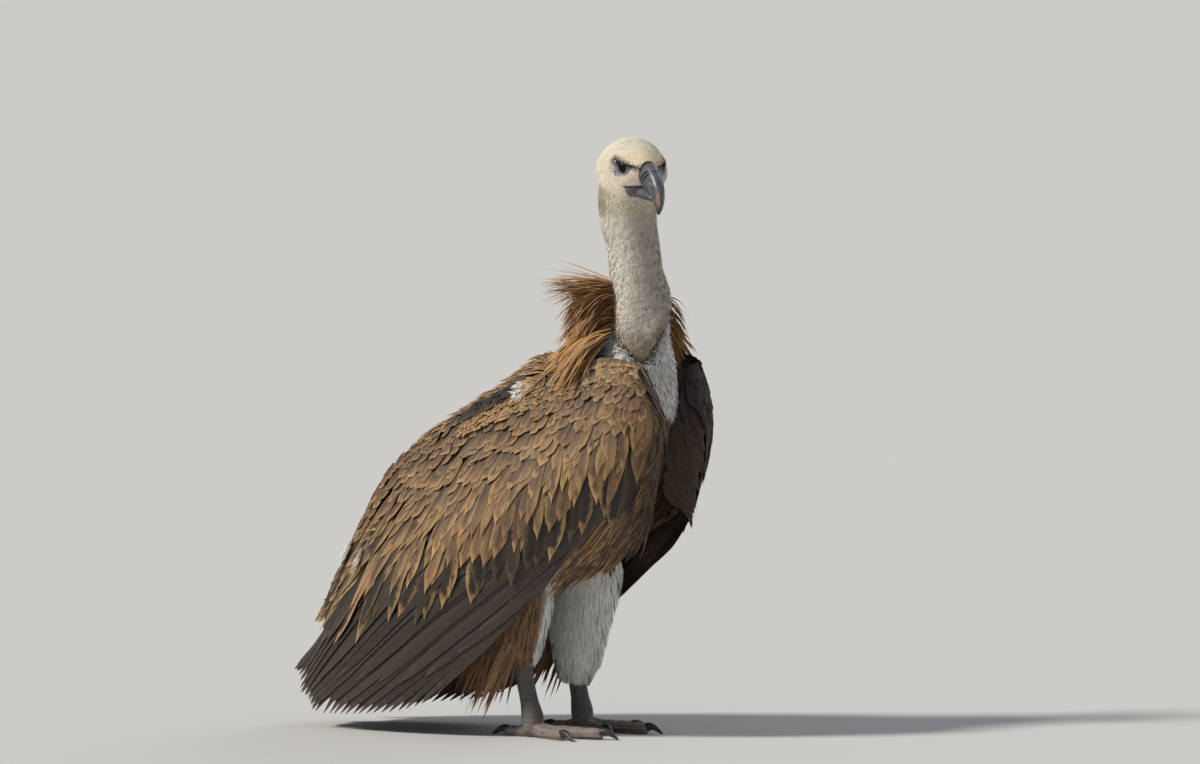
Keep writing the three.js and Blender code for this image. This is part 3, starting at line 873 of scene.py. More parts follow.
def shape_face(points):
    """The head's skin with its eye sockets and mouth corners pressed in and its brows raised."""
    q = back_to_head(points)
    ahead, left, up = q.T
    near = (np.linalg.norm(q, axis=1) < 95) * (np.abs(left) > 8)
    side = np.sign(left)
    (sa, sl, su), (ra, rl, ru) = SOCKET["at"], SOCKET["reach"]
    ru = np.where(up > su, brow_line(ahead) - su, ru)
    hollow = 1 - ((ahead - sa) / ra) ** 2 - ((up - su) / ru) ** 2
    floor = sl - rl * np.sqrt(np.clip(hollow, 0, 1))
    left = np.where((hollow > 0) & near, side * np.minimum(np.abs(left), floor + 0.5), left)
    crest = brow_line(ahead) + 1
    brow = bell(ahead - 5, 15) * ramp(up, crest - 2.4, crest) * ramp(up, crest + 9, crest)
    cheek = np.exp(-(((ahead + 8) / 16) ** 2) - ((up + 24) / 9) ** 2)
    corner = ramp(np.abs(left), 32, 28)
    above_gape = up - gape_line(ahead)
    gape = corner * ramp(ahead, 7, 12) * bell(above_gape, 1.5)
    lip = corner * ramp(ahead, 10, 15) * bell(above_gape - 2.6, 1.6)
    folds = np.sin(1.9 * above_gape + 1.6 * waves(q, 14, 2)) * jaw_bareness(q)
    left = left + side * near * (4.2 * brow + 1.2 * cheek - 3.0 * gape + 1.2 * lip + 0.6 * folds)
    return press_eye_pits(in_head(np.stack([ahead, left, up], -1)))


def press_eye_pits(points):
    """Points near each eyeball moved to just outside it, less far round above, where the brow is."""
    for side in SIDES.values():
        centre, gaze = eye_axis(side)
        out = points - centre
        far = np.linalg.norm(out, axis=1, keepdims=True)
        away = np.degrees(np.arccos(np.clip(unit(out) @ gaze, -1, 1)))
        over = ramp(unit(out) @ UP, -0.15, 0.45)
        close = ramp(away, 84 - 50 * over, 68 - 42 * over)[:, None] * ramp(far, 0.022, 0.017)
        points = points + (centre + unit(out) * EYE["pit"] * MM - points) * close
    return points


def eye_axis(side):
    """An eye's centre and the way it looks."""
    centre = in_head((0, side * EYE["from_middle"], 0))
    return centre, unit(HEAD_LEFT * side + HEAD_AHEAD * 0.75 - HEAD_UP * 0.04)


def skin_colours(points):
    """The same markings as the coat's, and bare skin round the eyes and the bill's base."""
    ahead, _, up = back_to_bird(points).T
    head = back_to_head(points)
    on_head = ramp(head[:, 2], -75, -50) * (up > 640)
    feathered = layered(
        DARK_BROWN * 0.8,
        (WHITE * 0.75, ramp(up, 480, 560) * ramp(ahead, 40, 80)),
        (WHITE * 0.6, ramp(up, 300, 220) * ramp(ahead, -130, -90)),
        (CREAM * 0.9, on_head),
    )
    return blend(feathered, bare_colours(points, head), face_bareness(head) * on_head)


def bare_colours(points, head):
    """The folds round the eye as painted rings of light and shade, the lores, and the wrinkled jaw under the
    mouth's edge, with painted shade and highlight by the mouth and painted shadow under the brow.
    """
    ahead, _, up = head.T
    from_eye = np.hypot(ahead - 3, up + 2)
    fold = 0.5 + 0.5 * np.sin(from_eye * 2.5 + 0.8 * waves(head, 6, 4))
    under_gape = up - gape_line(ahead)
    wrinkle = 0.5 + 0.6 * waves(points, 0.0022, 12)
    lip_ridge_highlight = bell(under_gape - 2.4, 0.9) * ramp(ahead, 10, 15)
    brow_shadow = ramp(up, brow_line(ahead) - 5.5, brow_line(ahead) - 2.5)
    return layered(
        LORES,
        # painted light and shade: rings of lit ridges and shaded creases that stand for the folds round the
        # eye
        (blend(FOLD_CREASE_SHADE, FOLD_RIDGE_LIGHT, fold), ramp(from_eye, 13, 11)),
        (blend(JAW_PALE, JAW_DARK, wrinkle), ramp(under_gape, 3, 1)),
        # painted highlight along the ridge of the lip's fold
        (LIP_RIDGE_HIGHLIGHT, lip_ridge_highlight * 0.7),
        # painted shade in the mouth's corner and along its edge
        (GAPE_SHADE, bell(under_gape, 1) * ramp(ahead, 8, 11)),
        # painted shadow of the brow on the skin under it
        (UNDER_BROW_SHADOW, brow_shadow * ramp(ahead, 34, 24)),
    )


def brow_line(ahead):
    """How far above the eyes' middle the lower edge of the brow runs."""
    return 5.4 + 0.03 * ahead


def gape_line(ahead):
    """How far above the eyes' middle the mouth's corner and edge run."""
    return -27 + 0.46 * (ahead - 8)


def jaw_bareness(head):
    """1 on the wrinkled bare skin from the mouth's corner to the chin."""
    ahead, left, up = head.T
    under_gape = up - gape_line(ahead)
    edge = np.abs(left) - 0.42 * under_gape + 1.8 * waves(head, 4, 7)
    beside = ramp(ahead, 8, 12) * ramp(edge, 32, 27.5)
    return beside * ramp(under_gape, 3, 1) * ramp(under_gape, -17, -13)


def face_bareness(head):
    """1 on bare skin of the face, 0 where down grows, from places in the head."""
    ahead, left, up = head.T
    above = ramp(up, brow_line(ahead) + 2.6, brow_line(ahead) + 1.6)
    round_eye = ramp(np.hypot(ahead - 3, up + 1) + 1.2 * waves(head, 5, 8), 13.5, 11) * above
    lores = ramp(ahead, 10, 17) * above * ramp(up, -24, -17) * 0.6
    return np.maximum(np.maximum(round_eye, lores), jaw_bareness(head)) * (np.abs(left) > 6)


def refine(mesh, centre, radius, cuts):
    """Cuts the faces near a place finer."""
    work = bmesh.new()
    work.from_mesh(mesh)
    middle = Vector(centre)
    edges = set()
    for face in work.faces:
        if (face.calc_center_median() - middle).length < radius:
            edges.update(face.edges)
    bmesh.ops.subdivide_edges(work, edges=list(edges), cuts=cuts, use_grid_fill=True)
    work.to_mesh(mesh)
    work.free()


def pouch_bulge(points):
    """How far the crop's pouch stands out in front, and the crease under it goes in, in millimetres."""
    ahead, _, up = back_to_bird(points).T
    edge = neck_end(points)
    bulge = 6 * bell(edge - 20, 16) - 5 * bell(edge + 6, 7)
    return bulge * ramp(ahead, 96, 122) * (up > 470)


def build_skin():
    """One skin over head, neck, trunk, wings and thighs."""
    solids = [
        loft_mesh("part", CRANIUM, 60, 64, HEAD_LEFT),
        loft_mesh("part", NECK, 50, 48),
        loft_mesh("part", TRUNK, 60, 64),
    ]
    solids += [loft_mesh("part", thigh_sections(name), 40, 40) for name in SIDES]
    wing_parts = [f"wing_{name}_{part}" for name in SIDES for part in ("shoulder", "coverts", "tertials")]
    solids += [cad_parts[part].data for part in wing_parts]
    piece = remeshed("skin", solids, FINENESS["skin"], 6)
    refine(piece.data, in_head((8, 0, -6)), 0.058, 3)
    mesh = with_modifier(piece, "SMOOTH", iterations=2, factor=0.4)
    points = points_of(mesh)
    points = points - normals_of(mesh) * coat_depth(points)[:, None]
    points = points + normals_of(mesh) * (pouch_bulge(points) * MM)[:, None]
    set_points(mesh, shape_face(points))
    smooth(mesh)
    paint(mesh, "tint", skin_colours(points_of(mesh)))
    dress(mesh, skin_material())
    return declare(piece, "down", "head", "neck", "trunk", "thigh_right", "thigh_left", *wing_parts)


class Ground:
    """The skin as something that feathers are rooted on and lie along."""

    def __init__(self, mesh):
        self.points = points_of(mesh)
        mesh.calc_loop_triangles()
        corners = np.empty(len(mesh.loop_triangles) * 3, np.int32)
        mesh.loop_triangles.foreach_get("vertices", corners)
        self.corners = corners.reshape(-1, 3)
        self.tree = BVHTree.FromPolygons(self.points.tolist(), self.corners.tolist())
        a, b, c = (self.points[self.corners[:, k]] for k in range(3))
        cross = np.cross(b - a, c - a)
        self.area = np.linalg.norm(cross, axis=1) / 2
        self.centre = (a + b + c) / 3
        self.facing = unit(cross)

    def nearest(self, points):
        """The nearest places on the skin, and its normals there."""
        places = np.empty_like(points)
        normals = np.empty_like(points)
        for k, point in enumerate(points.tolist()):
            spot, normal, _, _ = self.tree.find_nearest(point)
            places[k] = spot
            normals[k] = normal
        return places, normals

    def scatter(self, wanted, spacing, rng):
        """Roots about that far apart (millimetres) where wanted(places, normals) is over 0 to 1."""
        share = np.clip(wanted(self.centre, self.facing), 0, 1)
        weight = self.area * share
        count = int(weight.sum() / (spacing * MM) ** 2 * 2.2)
        chosen = rng.choice(len(weight), count, p=weight / weight.sum())
        a, b = rng.uniform(size=(2, count))
        a, b = np.where(a + b > 1, 1 - a, a), np.where(a + b > 1, 1 - b, b)
        p, q, r = (self.points[self.corners[chosen, k]] for k in range(3))
        spots = p + (q - p) * a[:, None] + (r - p) * b[:, None]
        cells = np.floor(spots / (spacing * MM)).astype(np.int64)
        _, first = np.unique(cells, axis=0, return_index=True)
        first.sort()
        return spots[first], self.facing[chosen[first]]

    def hug(self, roots, flow, length, steps):
        """Lines along the skin from roots, heading as flow(places, normals) says."""
        lines, normals = [], []
        step = (length / (steps - 1))[:, None]
        ahead = roots
        for _ in range(steps):
            spot, normal = self.nearest(ahead)
            lines.append(spot)
            normals.append(normal)
            ahead = spot + flat_to(flow(spot, normal), normal) * step
        return np.stack(lines, 1), np.stack(normals, 1)


def unwrap(points, low=0, high=800):
    """Places on the skin's unwrap: round the body, and up it."""
    ahead, left, up = back_to_bird(points).T
    turn = np.arctan2(left, ahead - np.interp(up, *BODY_MIDDLE)) / (2 * math.pi) + 0.5
    return np.stack([turn, np.clip((up - low) / (high - low), 0, 1)], -1)


# ---------- Down ----------
def head_flow(points, normals):
    """The lie of the down: back and down from the bill, and down the neck."""
    head = back_to_head(points)
    ahead, _, up = head.T
    back = -HEAD_AHEAD * 0.9 - UP * 0.5
    fan = in_head(head) - in_head(np.array([46.0, 0.0, 4.0]))
    whole = blend(-UP, back, ramp(up, -60, -30))
    return blend(whole, unit(fan), ramp(ahead, -40, 20) * ramp(up, -60, -40))


def down_colour(points, rng):
    """Cream on the head and warm white down the neck, with the stains and shadows of both."""
    ahead, _, above_eye = back_to_head(points).T
    up = height_of(points)
    left_right = across_neck(points)
    above_brow = above_eye - brow_line(ahead)
    by_brow = ramp(np.abs(ahead - 9), 26, 18) * (above_eye > 0)
    # dirt, and painted shade, on the neck below the head, on its side turned from the light
    dirt_and_shade = ramp(left_right, -24, 6) * ramp(up, 745, 690)
    mottle = ramp(waves(points, 0.009, 5), 0.0, 0.9) * ramp(up, 735, 650)
    colour = layered(
        CREAM,
        (FOREHEAD, ramp(ahead, -10, 26) * ramp(above_eye, -8, 12) * 0.8),
        (ROUND_EYE, np.exp(-(((ahead - 12) / 17) ** 2) - ((above_eye + 8) / 16) ** 2) * 0.7),
        (NECK_WHITE, ramp(up, 720, 660)),
        (DIRT_AND_SHADE, dirt_and_shade * 0.5),
        (MOTTLE, mottle * (0.2 + 0.4 * dirt_and_shade)),
        # olive painted shade under the chin
        (THROAT_SHADE, ramp(up, 690, 715) * ramp(above_eye, -26, -38) * ramp(ahead, -40, -10) * 0.7),
        (BROW_SHADE, ramp(above_brow, 6.5, 3.5) * by_brow * 0.6),
        (BROW, ramp(above_brow, 4.2, 2.8) * by_brow * 0.9),
        (OCHRE * 0.95, bell(up - 560, 20) * ramp(left_right, -14, -30) * 0.85),
        # the crop patch's brown, deepened by painted shade at the pouch's lower end on the side turned from
        # the light
        (POUCH_TINT_AND_SHADE, ramp(neck_end(points), 40, 6) * (up < 575) * ramp(left_right, -34, -10) * 0.62),
    )
    woolly = 1 + 0.05 * waves(points, 0.005, 15)[:, None]
    return np.clip(colour * woolly * np.exp(rng.normal(0, 0.04, (len(points), 1))), 0, 1)


def across_neck(points):
    """How far from the neck's middle towards the bird's left and front, in millimetres."""
    ahead, left, _ = back_to_bird(points).T
    return (ahead - CROP["ahead"]) * 0.883 + left * 0.469


def neck_end(points):
    """How far above the neck's lower edge, in millimetres. The crop makes it a V that hangs lowest in
    front, a little to the right, and it rises round the sides to the back."""
    ahead, left, up = back_to_bird(points).T
    around = np.degrees(np.arctan2(left, ahead - CROP["ahead"]))
    off = np.abs((around - CROP["turn"] + 180) % 360 - 180)
    return up - np.minimum(CROP["up"] + 0.78 * off, CROP["behind"])


def add_tufts(coat, roots, normals, flow, length, half, lift, colour, rng, curl=0.3, soft=0.8,
              swirl=(0.0045, 0.55)):
    """Short tufts, each rising from the skin at an angle and bending back along it."""
    count = len(roots)
    turned = np.stack([waves(roots, swirl[0], seed) for seed in (21, 22, 23)], -1) * swirl[1]
    heading = flat_to(flow(roots, normals) + turned + rng.normal(0, 0.26, (count, 3)), normals)
    rise = np.radians(rng.normal(lift, lift * 0.25, count))
    first = heading * np.cos(rise)[:, None] + normals * np.sin(rise)[:, None]
    last = unit(first - normals * curl + rng.normal(0, 0.12, (count, 3)))
    length = length[:, None]
    start = roots - normals * 0.0004
    line = np.stack([start, start + first * length * 0.5, start + (first + last) * length * 0.5], 1)
    facing = np.repeat(normals[:, None], 3, 1)
    coat.add(line, facing, half, "tuft", colour, colour, unwrap(roots), rng, columns=2,
             camber=0, lag=0, ragged=0, roll=rng.normal(0, 0.5, count), soft=soft)


def add_brow(coat, ground, side, rng):
    """Dark bristles along the lower edge of one brow, thickest in front."""
    count = COUNTS["bristles"]
    ahead = rng.uniform(-12, 30, count)
    thick = (3.9 - 0.06 * ahead) * ramp(ahead, -14, -4)
    up = brow_line(ahead) - 0.7 + rng.uniform(0, 1, count) ** 1.2 * thick
    start = in_head(np.stack([ahead, np.full(count, side * 60), up], -1))
    inward = Vector(HEAD_LEFT * -side)
    hits = [ground.tree.ray_cast(Vector(point), inward)[:2] for point in start]
    found = [hit for hit in hits if hit[0] is not None]
    roots = np.array([hit[0] for hit in found])
    normals = np.array([hit[1] for hit in found])
    back = lambda p, n: np.broadcast_to(-HEAD_AHEAD - HEAD_UP * 0.35 + HEAD_LEFT * 0.5 * side, p.shape)
    colour = vary(BRISTLE, len(roots), rng, 0.2, 0.02)
    add_tufts(coat, roots, normals, back, rng.uniform(1.8, 3.2, len(roots)) * MM,
              0.15 * MM, 12, colour, rng)


def build_down(ground):
    """The down of the head, each half a piece of its own, and of the neck."""
    rng = np.random.default_rng(11)
    material = down_material("down", Roughness=0.95)

    def on_head(points, normals):
        head = back_to_head(points)
        inside_bill = (head[:, 0] > 25) * (np.abs(head[:, 1]) < 15) * (np.abs(head[:, 2] + 10) < 21)
        grows = ramp(height_of(points), *COAT_PASS["head"]) * (1 - face_bareness(head))
        return grows * (1 - inside_bill) * (0.6 + 0.4 * ramp(head[:, 0], 10, -30))

    for name, side in SIDES.items():
        half_head = lambda p, n, side=side: on_head(p, n) * (side * back_to_head(p)[:, 1] > 0)
        coat = Coat(f"down_head_{name}")
        roots, normals = ground.scatter(half_head, 0.565, rng)
        head = back_to_head(roots)
        rear = ramp(head[:, 0], 24, -24)
        low = ramp(height_of(roots), 722, 676)
        length = (3.0 + 3.4 * rear + 1.2 * low) * rng.uniform(0.7, 1.35, len(roots)) * MM
        half = (0.11 + 0.09 * rear + 0.1 * low) * MM
        add_tufts(coat, roots, normals, head_flow, length, half, 17 + 8 * low, down_colour(roots, rng), rng)
        add_brow(coat, ground, side, rng)
        coat.build(material, "down")

    def on_neck(points, normals):
        return ramp(height_of(points), *COAT_PASS["neck"]) * ramp(neck_end(points), -12, 0)

    coat = Coat("down_neck")
    roots, normals = ground.scatter(on_neck, 0.9, rng)
    length = rng.uniform(5, 8.5, len(roots)) * MM
    add_tufts(coat, roots, normals, head_flow, length, 0.34 * MM, 26, down_colour(roots, rng), rng,
              swirl=(0.008, 0.9))
    coat.build(material, "down")


# ---------- Ruff ----------
def plumes(coat, turn, far, up, reach, rise, droop, half, rng, golden=0.0):
    """Long narrow plumes round the neck: from their roots they rise, and bend over as they droop."""
    count = len(turn)
    out = np.stack([np.sin(turn), np.cos(turn), 0 * turn], -1)
    root = place(np.stack([RUFF["neck_ahead"] - out[:, 1] * far, out[:, 0] * far, up], -1))
    clump = waves(root, 0.026, 3)
    rise = np.radians(rise + np.clip(12 * clump, -16, 6) + np.clip(rng.normal(0, 5, count), -9, 4))
    heading = out * np.cos(rise)[:, None] + UP * np.sin(rise)[:, None]
    sway = np.stack([waves(root, 0.03, 8), waves(root, 0.03, 9), 0 * clump], -1)
    heading = unit(heading + 0.16 * sway + rng.normal(0, 0.05, (count, 3)))
    lines, spot, steps = [], root, 10
    for _ in range(steps):
        lines.append(spot)
        spot = spot + heading * (reach * MM / (steps - 1))[:, None]
        heading = unit(heading - UP * droop[:, None])
    line = np.stack(lines, 1)
    tangent = unit(np.gradient(line, axis=1))
    normal = flat_to(out[:, None] * 0.6 + UP + 0 * line, tangent)
    shade = rng.uniform(0, 1, count)
    tint = blend(PLUME_DARK, PLUME, np.clip(shade + 0.35 * clump, 0, 1))
    tint = blend(tint, GOLD, (rng.uniform(size=count) < 0.16) * 0.7)
    tint = blend(tint, PLUME_GOLD, golden * rng.uniform(0.4, 1, count))
    rim = blend(tint, PLUME_RIM, 0.3 + 0.6 * rng.uniform(size=count))
    spread = np.stack([turn / (2 * math.pi) + 0.5, np.clip((up - 470) / 150, 0, 1)], -1)
    coat.add(line, normal, half * MM, "lance", vary(tint, count, rng), rim, spread, rng, columns=3,
             camber=0.5, roll=rng.normal(0, 0.5, count), ragged=0.1)


def build_ruff():
    """The collar of long plumes round the back and the left of the neck."""
    rng = np.random.default_rng(21)
    coat = Coat("ruff")
    count = COUNTS["collar"]
    spread = rng.uniform(0, 1, count)
    turn = np.radians(RUFF["near_side"] + (RUFF["far_side"] - RUFF["near_side"]) * spread)
    tier = rng.uniform(0, 1, count)
    full = np.clip(np.sin(math.pi * spread), 0, 1) ** 0.35
    up = RUFF["root"] - 12 + 14 * np.cos(turn) - 82 * tier
    reach = (50 + 49 * full * rng.uniform(0.75, 1.1, count)) * (1 - 0.16 * ramp(spread, 0.55, 0.9))
    droop = 0.24 + 0.06 * rng.uniform(-1, 1, count) - 0.05 * tier
    plumes(coat, turn, 34 + 12 * tier, up, reach, 17 - 52 * tier, droop, rng.uniform(0.9, 2.0, count), rng)
    count = COUNTS["golden"]
    turn = np.radians(rng.uniform(-72, 104, count))
    tier = rng.uniform(0, 1, count)
    reach = rng.uniform(64, 96, count)
    droop = rng.uniform(0.09, 0.15, count)
    plumes(coat, turn, 46 + 26 * tier, 548 - 34 * tier, reach, -6 - 18 * tier, droop,
           rng.uniform(1.4, 2.8, count), rng, 0.75)
    count = COUNTS["loose"]
    turn = np.radians(rng.choice([-44, -30, -12], count) + rng.normal(0, 5, count))
    up = RUFF["root"] + rng.uniform(-4, 12, count)
    reach = rng.uniform(70, 112, count)
    droop = rng.uniform(0.0, 0.075, count)
    plumes(coat, turn, np.full(count, 34.0), up, reach, np.full(count, 8.0), droop,
           rng.uniform(0.7, 1.4, count), rng)
    coat.build(vane_material("ruff", 0.25, 60.0, PALE_SHAFT, Roughness=0.7), "plume", "ruff")


# ---------- Body feathers ----------
def in_slot_shadow(points):
    """1 in the gap between the mantle and the top edge of the right wing, where shadow is painted on the
    feathers.
    """
    u = np.linspace(SLOT["from"], SLOT["to"], 14)
    edge = WINGS["right"].at(u, 0 * u)[0]
    far = np.linalg.norm(points[:, None] - edge[None], axis=2).min(1)
    return ramp(far, *SLOT["reach"])


def on_wing(points, reach=0.014):
    """1 for each place that lies on a wing's outer face or its edges."""
    covered = np.zeros(len(points))
    for name, sheet in WINGS.items():
        grid = sheet.grid[FIRST_ROW[name]::3, ::2]
        tree = BVHTree.FromPolygons(grid.reshape(-1, 3).tolist(), grid_quads(*grid.shape[:2]).tolist())
        for k, point in enumerate(points.tolist()):
            if tree.find_nearest(point, reach)[0] is not None:
                covered[k] = 1
    return covered


ALONG_BACK = np.array([0.0, 0.74, -0.67])
DOWN_CHEST = np.array([0.0, 0.3, -1.0])
UNDER_BELLY = np.array([0.0, 0.9, -0.25])


def body_flow(points, normals):
    """Back along the mantle, down the chest, and down and back under the belly."""
    ahead, _, _ = back_to_bird(points).T
    flow = blend(ALONG_BACK, DOWN_CHEST, ramp(ahead, 60, 120))
    return blend(flow, UNDER_BELLY, ramp(normals[:, 2], 0.0, -0.5))


def add_ledge(coat, ground, rng):
    """Small feathers that wrap over the top edges of the wings."""
    u = np.linspace(0.0, 0.5, 60)
    edges = np.concatenate([sheet.at(u, 0 * u)[0] for sheet in WINGS.values()])
    outward = np.repeat([LEFT * side for side in SIDES.values()], 60, 0)

    def of_ledge(points, normals):
        wanted = (normals[:, 2] > 0.2) * (height_of(points) > 380)
        some = np.flatnonzero(wanted)
        far = np.linalg.norm(points[some, None] - edges[None], axis=2).min(1)
        wanted = np.zeros(len(points))
        wanted[some] = far < 0.02
        return wanted

    def over_edge(points, normals):
        nearest = np.linalg.norm(points[:, None] - edges[None], axis=2).argmin(1)
        return outward[nearest] * 0.9 + np.array([0.0, 0.35, -0.6])

    roots, normals = ground.scatter(of_ledge, 7, rng)
    count = len(roots)
    line, facing = ground.hug(roots, over_edge, rng.uniform(20, 30, count) * MM, 8)
    line = raised(line, facing, 0.5, rng.uniform(5, 8, count))
    tint = vary(blend(BROWN, TAN, rng.uniform(size=count)), count, rng)
    rim = vary(GOLD, count, rng)
    # painted shade on the front of the left wing's ledge, and painted shadow in the gap by the right wing
    shade = ((roots[:, 0] > 0) & (back_to_bird(roots)[:, 0] > 90)) * 0.85
    slot = np.maximum(in_slot_shadow(line[:, -2]), shade)
    tint, rim = blend_both((tint, rim), (FLIGHT * 0.6, DARK_BROWN * 0.8), slot)
    coat.add(line, facing, rng.uniform(4.5, 6.5, count) * MM, "round", tint, rim, unwrap(roots), rng,
             columns=5, roll=rng.normal(0, 0.14, count))


def of_chest(points, bare):
    """1 where white down grows, on the chest and round the neck's base."""
    ahead, left, up = back_to_bird(points).T
    chest = (ahead > 96) * (up > 434 - 0.3 * left) * (np.abs(left) < 80)
    neck_base = (up > 498) * (ahead > 74) * (np.abs(left) > 12)
    return bare * np.maximum(chest, neck_base)


def build_back(ground, bare, rng):
    """The feathers of the mantle and the rest of the back."""

    def wanted(points, normals):
        ahead, _, up = back_to_bird(points).T
        back = (normals[:, 2] > 0.05) * (ahead < 100) * ((up > 330) | (ahead < -150))
        return bare * back * (1 - of_chest(points, bare) * 0.9)

    coat = Coat("plumage_back")
    roots, normals = ground.scatter(wanted, 10, rng)
    count = len(roots)
    line, facing = ground.hug(roots, body_flow, rng.uniform(40, 66, count) * MM, 8)
    line = raised(line, facing, -0.5, rng.uniform(8, 14, count))
    tint = vary(blend(BROWN, DARK_BROWN, rng.uniform(size=count)), count, rng)
    gold = ramp(back_to_bird(roots)[:, 0], -20, 60)
    tint = blend(tint, vary(TAN, count, rng), gold * 0.6)
    rim = vary(GOLD, count, rng)
    # painted shadow in the gap by the right wing's top edge
    tint, rim = blend_both((tint, rim), SLOT_SHADOW, in_slot_shadow(line[:, -2]))
    coat.add(line, facing, rng.uniform(5.5, 8.5, count) * MM, "pointed", tint, rim,
             unwrap(roots), rng, columns=5, roll=rng.normal(0, 0.14, count))
    add_ledge(coat, ground, rng)
    coat.build(vane_material("plumage_back", 0.45, 40.0, PALE_SHAFT, (0.25, 0.7), Roughness=0.75), "plumage")


def build_chest(ground, bare, rng):
    """The white down of the chest, with painted shade in the crease under the crop."""
    coat = Coat("down_chest")
    roots, normals = ground.scatter(lambda points, _: of_chest(points, bare), 1.7, rng)
    ahead, _, up = back_to_bird(roots).T
    colour = layered(
        vary(WHITE, len(roots), rng, 0.06, 0.01),
        # painted shade in the crease under the crop's pouch
        (CREASE_SHADE, ramp(neck_end(roots), -15, -6) * ramp(ahead, 86, 100) * 0.94),
        # painted shade in the hollow beside the ruff at the neck's base
        (HOLLOW_SHADE, ramp(across_neck(roots), -40, -50) * ramp(up, 500, 512) * 0.9),
        (CHEST_GREY, ramp(waves(roots, 0.02, 6), 0.0, 0.8) * ramp(ahead, 120, 100) * 0.6),
    )
    length = rng.uniform(8, 15, len(roots)) * MM
    add_tufts(coat, roots, normals, body_flow, length, 0.6 * MM, 30, colour, rng)
    coat.build(down_material("down_chest", Roughness=0.95), "down")


def build_belly(ground, bare, rng):
    """The narrow feathers of the breast's lower part, the belly and the vent."""

    def wanted(points, normals):
        ahead, left, up = back_to_bird(points).T
        lower = (up <= 440) * ((normals[:, 2] < 0.05) | (ahead > 96))
        in_wing = (np.abs(left) > 102) * (up < 300) * (ahead < 40)
        return bare * lower * (1 - on_thigh(points)) * (1 - in_wing)

    coat = Coat("plumage_belly")
    roots, normals = ground.scatter(wanted, 8, rng)
    count = len(roots)
    size = np.clip(height_of(roots) - 200, 24, 68) * rng.uniform(0.8, 1.15, count) * MM
    line, facing = ground.hug(roots, body_flow, size, 8)
    line = raised(line, facing, -0.5, rng.uniform(4, 8, count))
    behind = ramp(back_to_bird(roots)[:, 0], -60, -110) * 0.85
    tint = blend(RUFOUS, DARK_BROWN, rng.uniform(0.3, 1.0, count)) * 0.75
    tint = blend(tint, FLIGHT * 0.7, behind)
    rim = blend(vary(RUFOUS, count, rng), BROWN, rng.uniform(size=count)) * 0.72
    rim = blend(rim, DARK_BROWN, behind)
    coat.add(line, facing, rng.uniform(3.2, 5.2, count) * MM, "lance", vary(tint, count, rng), rim,
             unwrap(roots), rng, columns=3, roll=rng.normal(0, 0.2, count), ragged=0.08)
    coat.build(vane_material("plumage_belly", 0.4, 40.0, PALE_SHAFT, Roughness=0.75), "plumage")


def build_body(ground):
    """Everything that grows on the body where no wing lies over it."""
    rng = np.random.default_rng(31)
    covered = on_wing(ground.centre)
    on_neck = ramp(neck_end(ground.centre), 4, -6)
    bare = (1 - covered) * on_neck * (height_of(ground.centre) > 150)
    build_back(ground, bare, rng)
    build_chest(ground, bare, rng)
    build_belly(ground, bare, rng)
    build_trousers(ground, covered)


def on_thigh(points):
    ahead, left, up = back_to_bird(points).T
    beside = (np.abs(left) > 22) * (np.abs(left) < LEG["left_of_middle"] + 44)
    return (up < 234) * (ahead > -95) * (ahead < 60) * beside


def thigh_rufous(points):
    """1 on the outer side of the thighs, which is streaked with rufous, and 0 on their white parts."""
    ahead, left, _ = back_to_bird(points).T
    turn = np.degrees(np.arctan2(np.abs(left) - LEG["left_of_middle"] - 6, ahead + 10))
    return np.maximum(ramp(turn, 22, 42), ramp(turn, -138, -160))


def trouser_colours(roots, rng):
    count = len(roots)
    rufous = thigh_rufous(roots)
    white = vary(WHITE, count, rng, 0.05, 0.01)
    tint = blend(white, blend(RUFOUS, DARK_BROWN, rng.uniform(0, 0.75, count)), rufous)
    rim = blend(white, blend(RUFOUS, GOLD, rng.uniform(0, 0.8, count)), rufous)
    dark = ramp(waves(roots * [1, 1, 0.3], 0.007, 41) + rng.normal(0, 0.2, count), -0.1, 0.6) * rufous
    return blend(tint, DARK_BROWN * 0.5, dark * 0.8), blend(rim, DARK_BROWN * 0.8, dark * 0.75)


def hanging(roots, normals, lean, length, steps, rng):
    """Lines that leave the body, leaning to the rear, and bend down as they go."""
    heading = unit(normals * [0.04, 0.2, 0.2] + np.array([0, lean, -0.85]) + rng.normal(0, 0.07, roots.shape))
    spots, spot = [], roots
    for _ in range(steps):
        spots.append(spot)
        spot = spot + heading * (length / (steps - 1))[:, None]
        heading = unit(heading - UP * 0.05)
    return np.stack(spots, 1), np.repeat(normals[:, None], steps, 1)


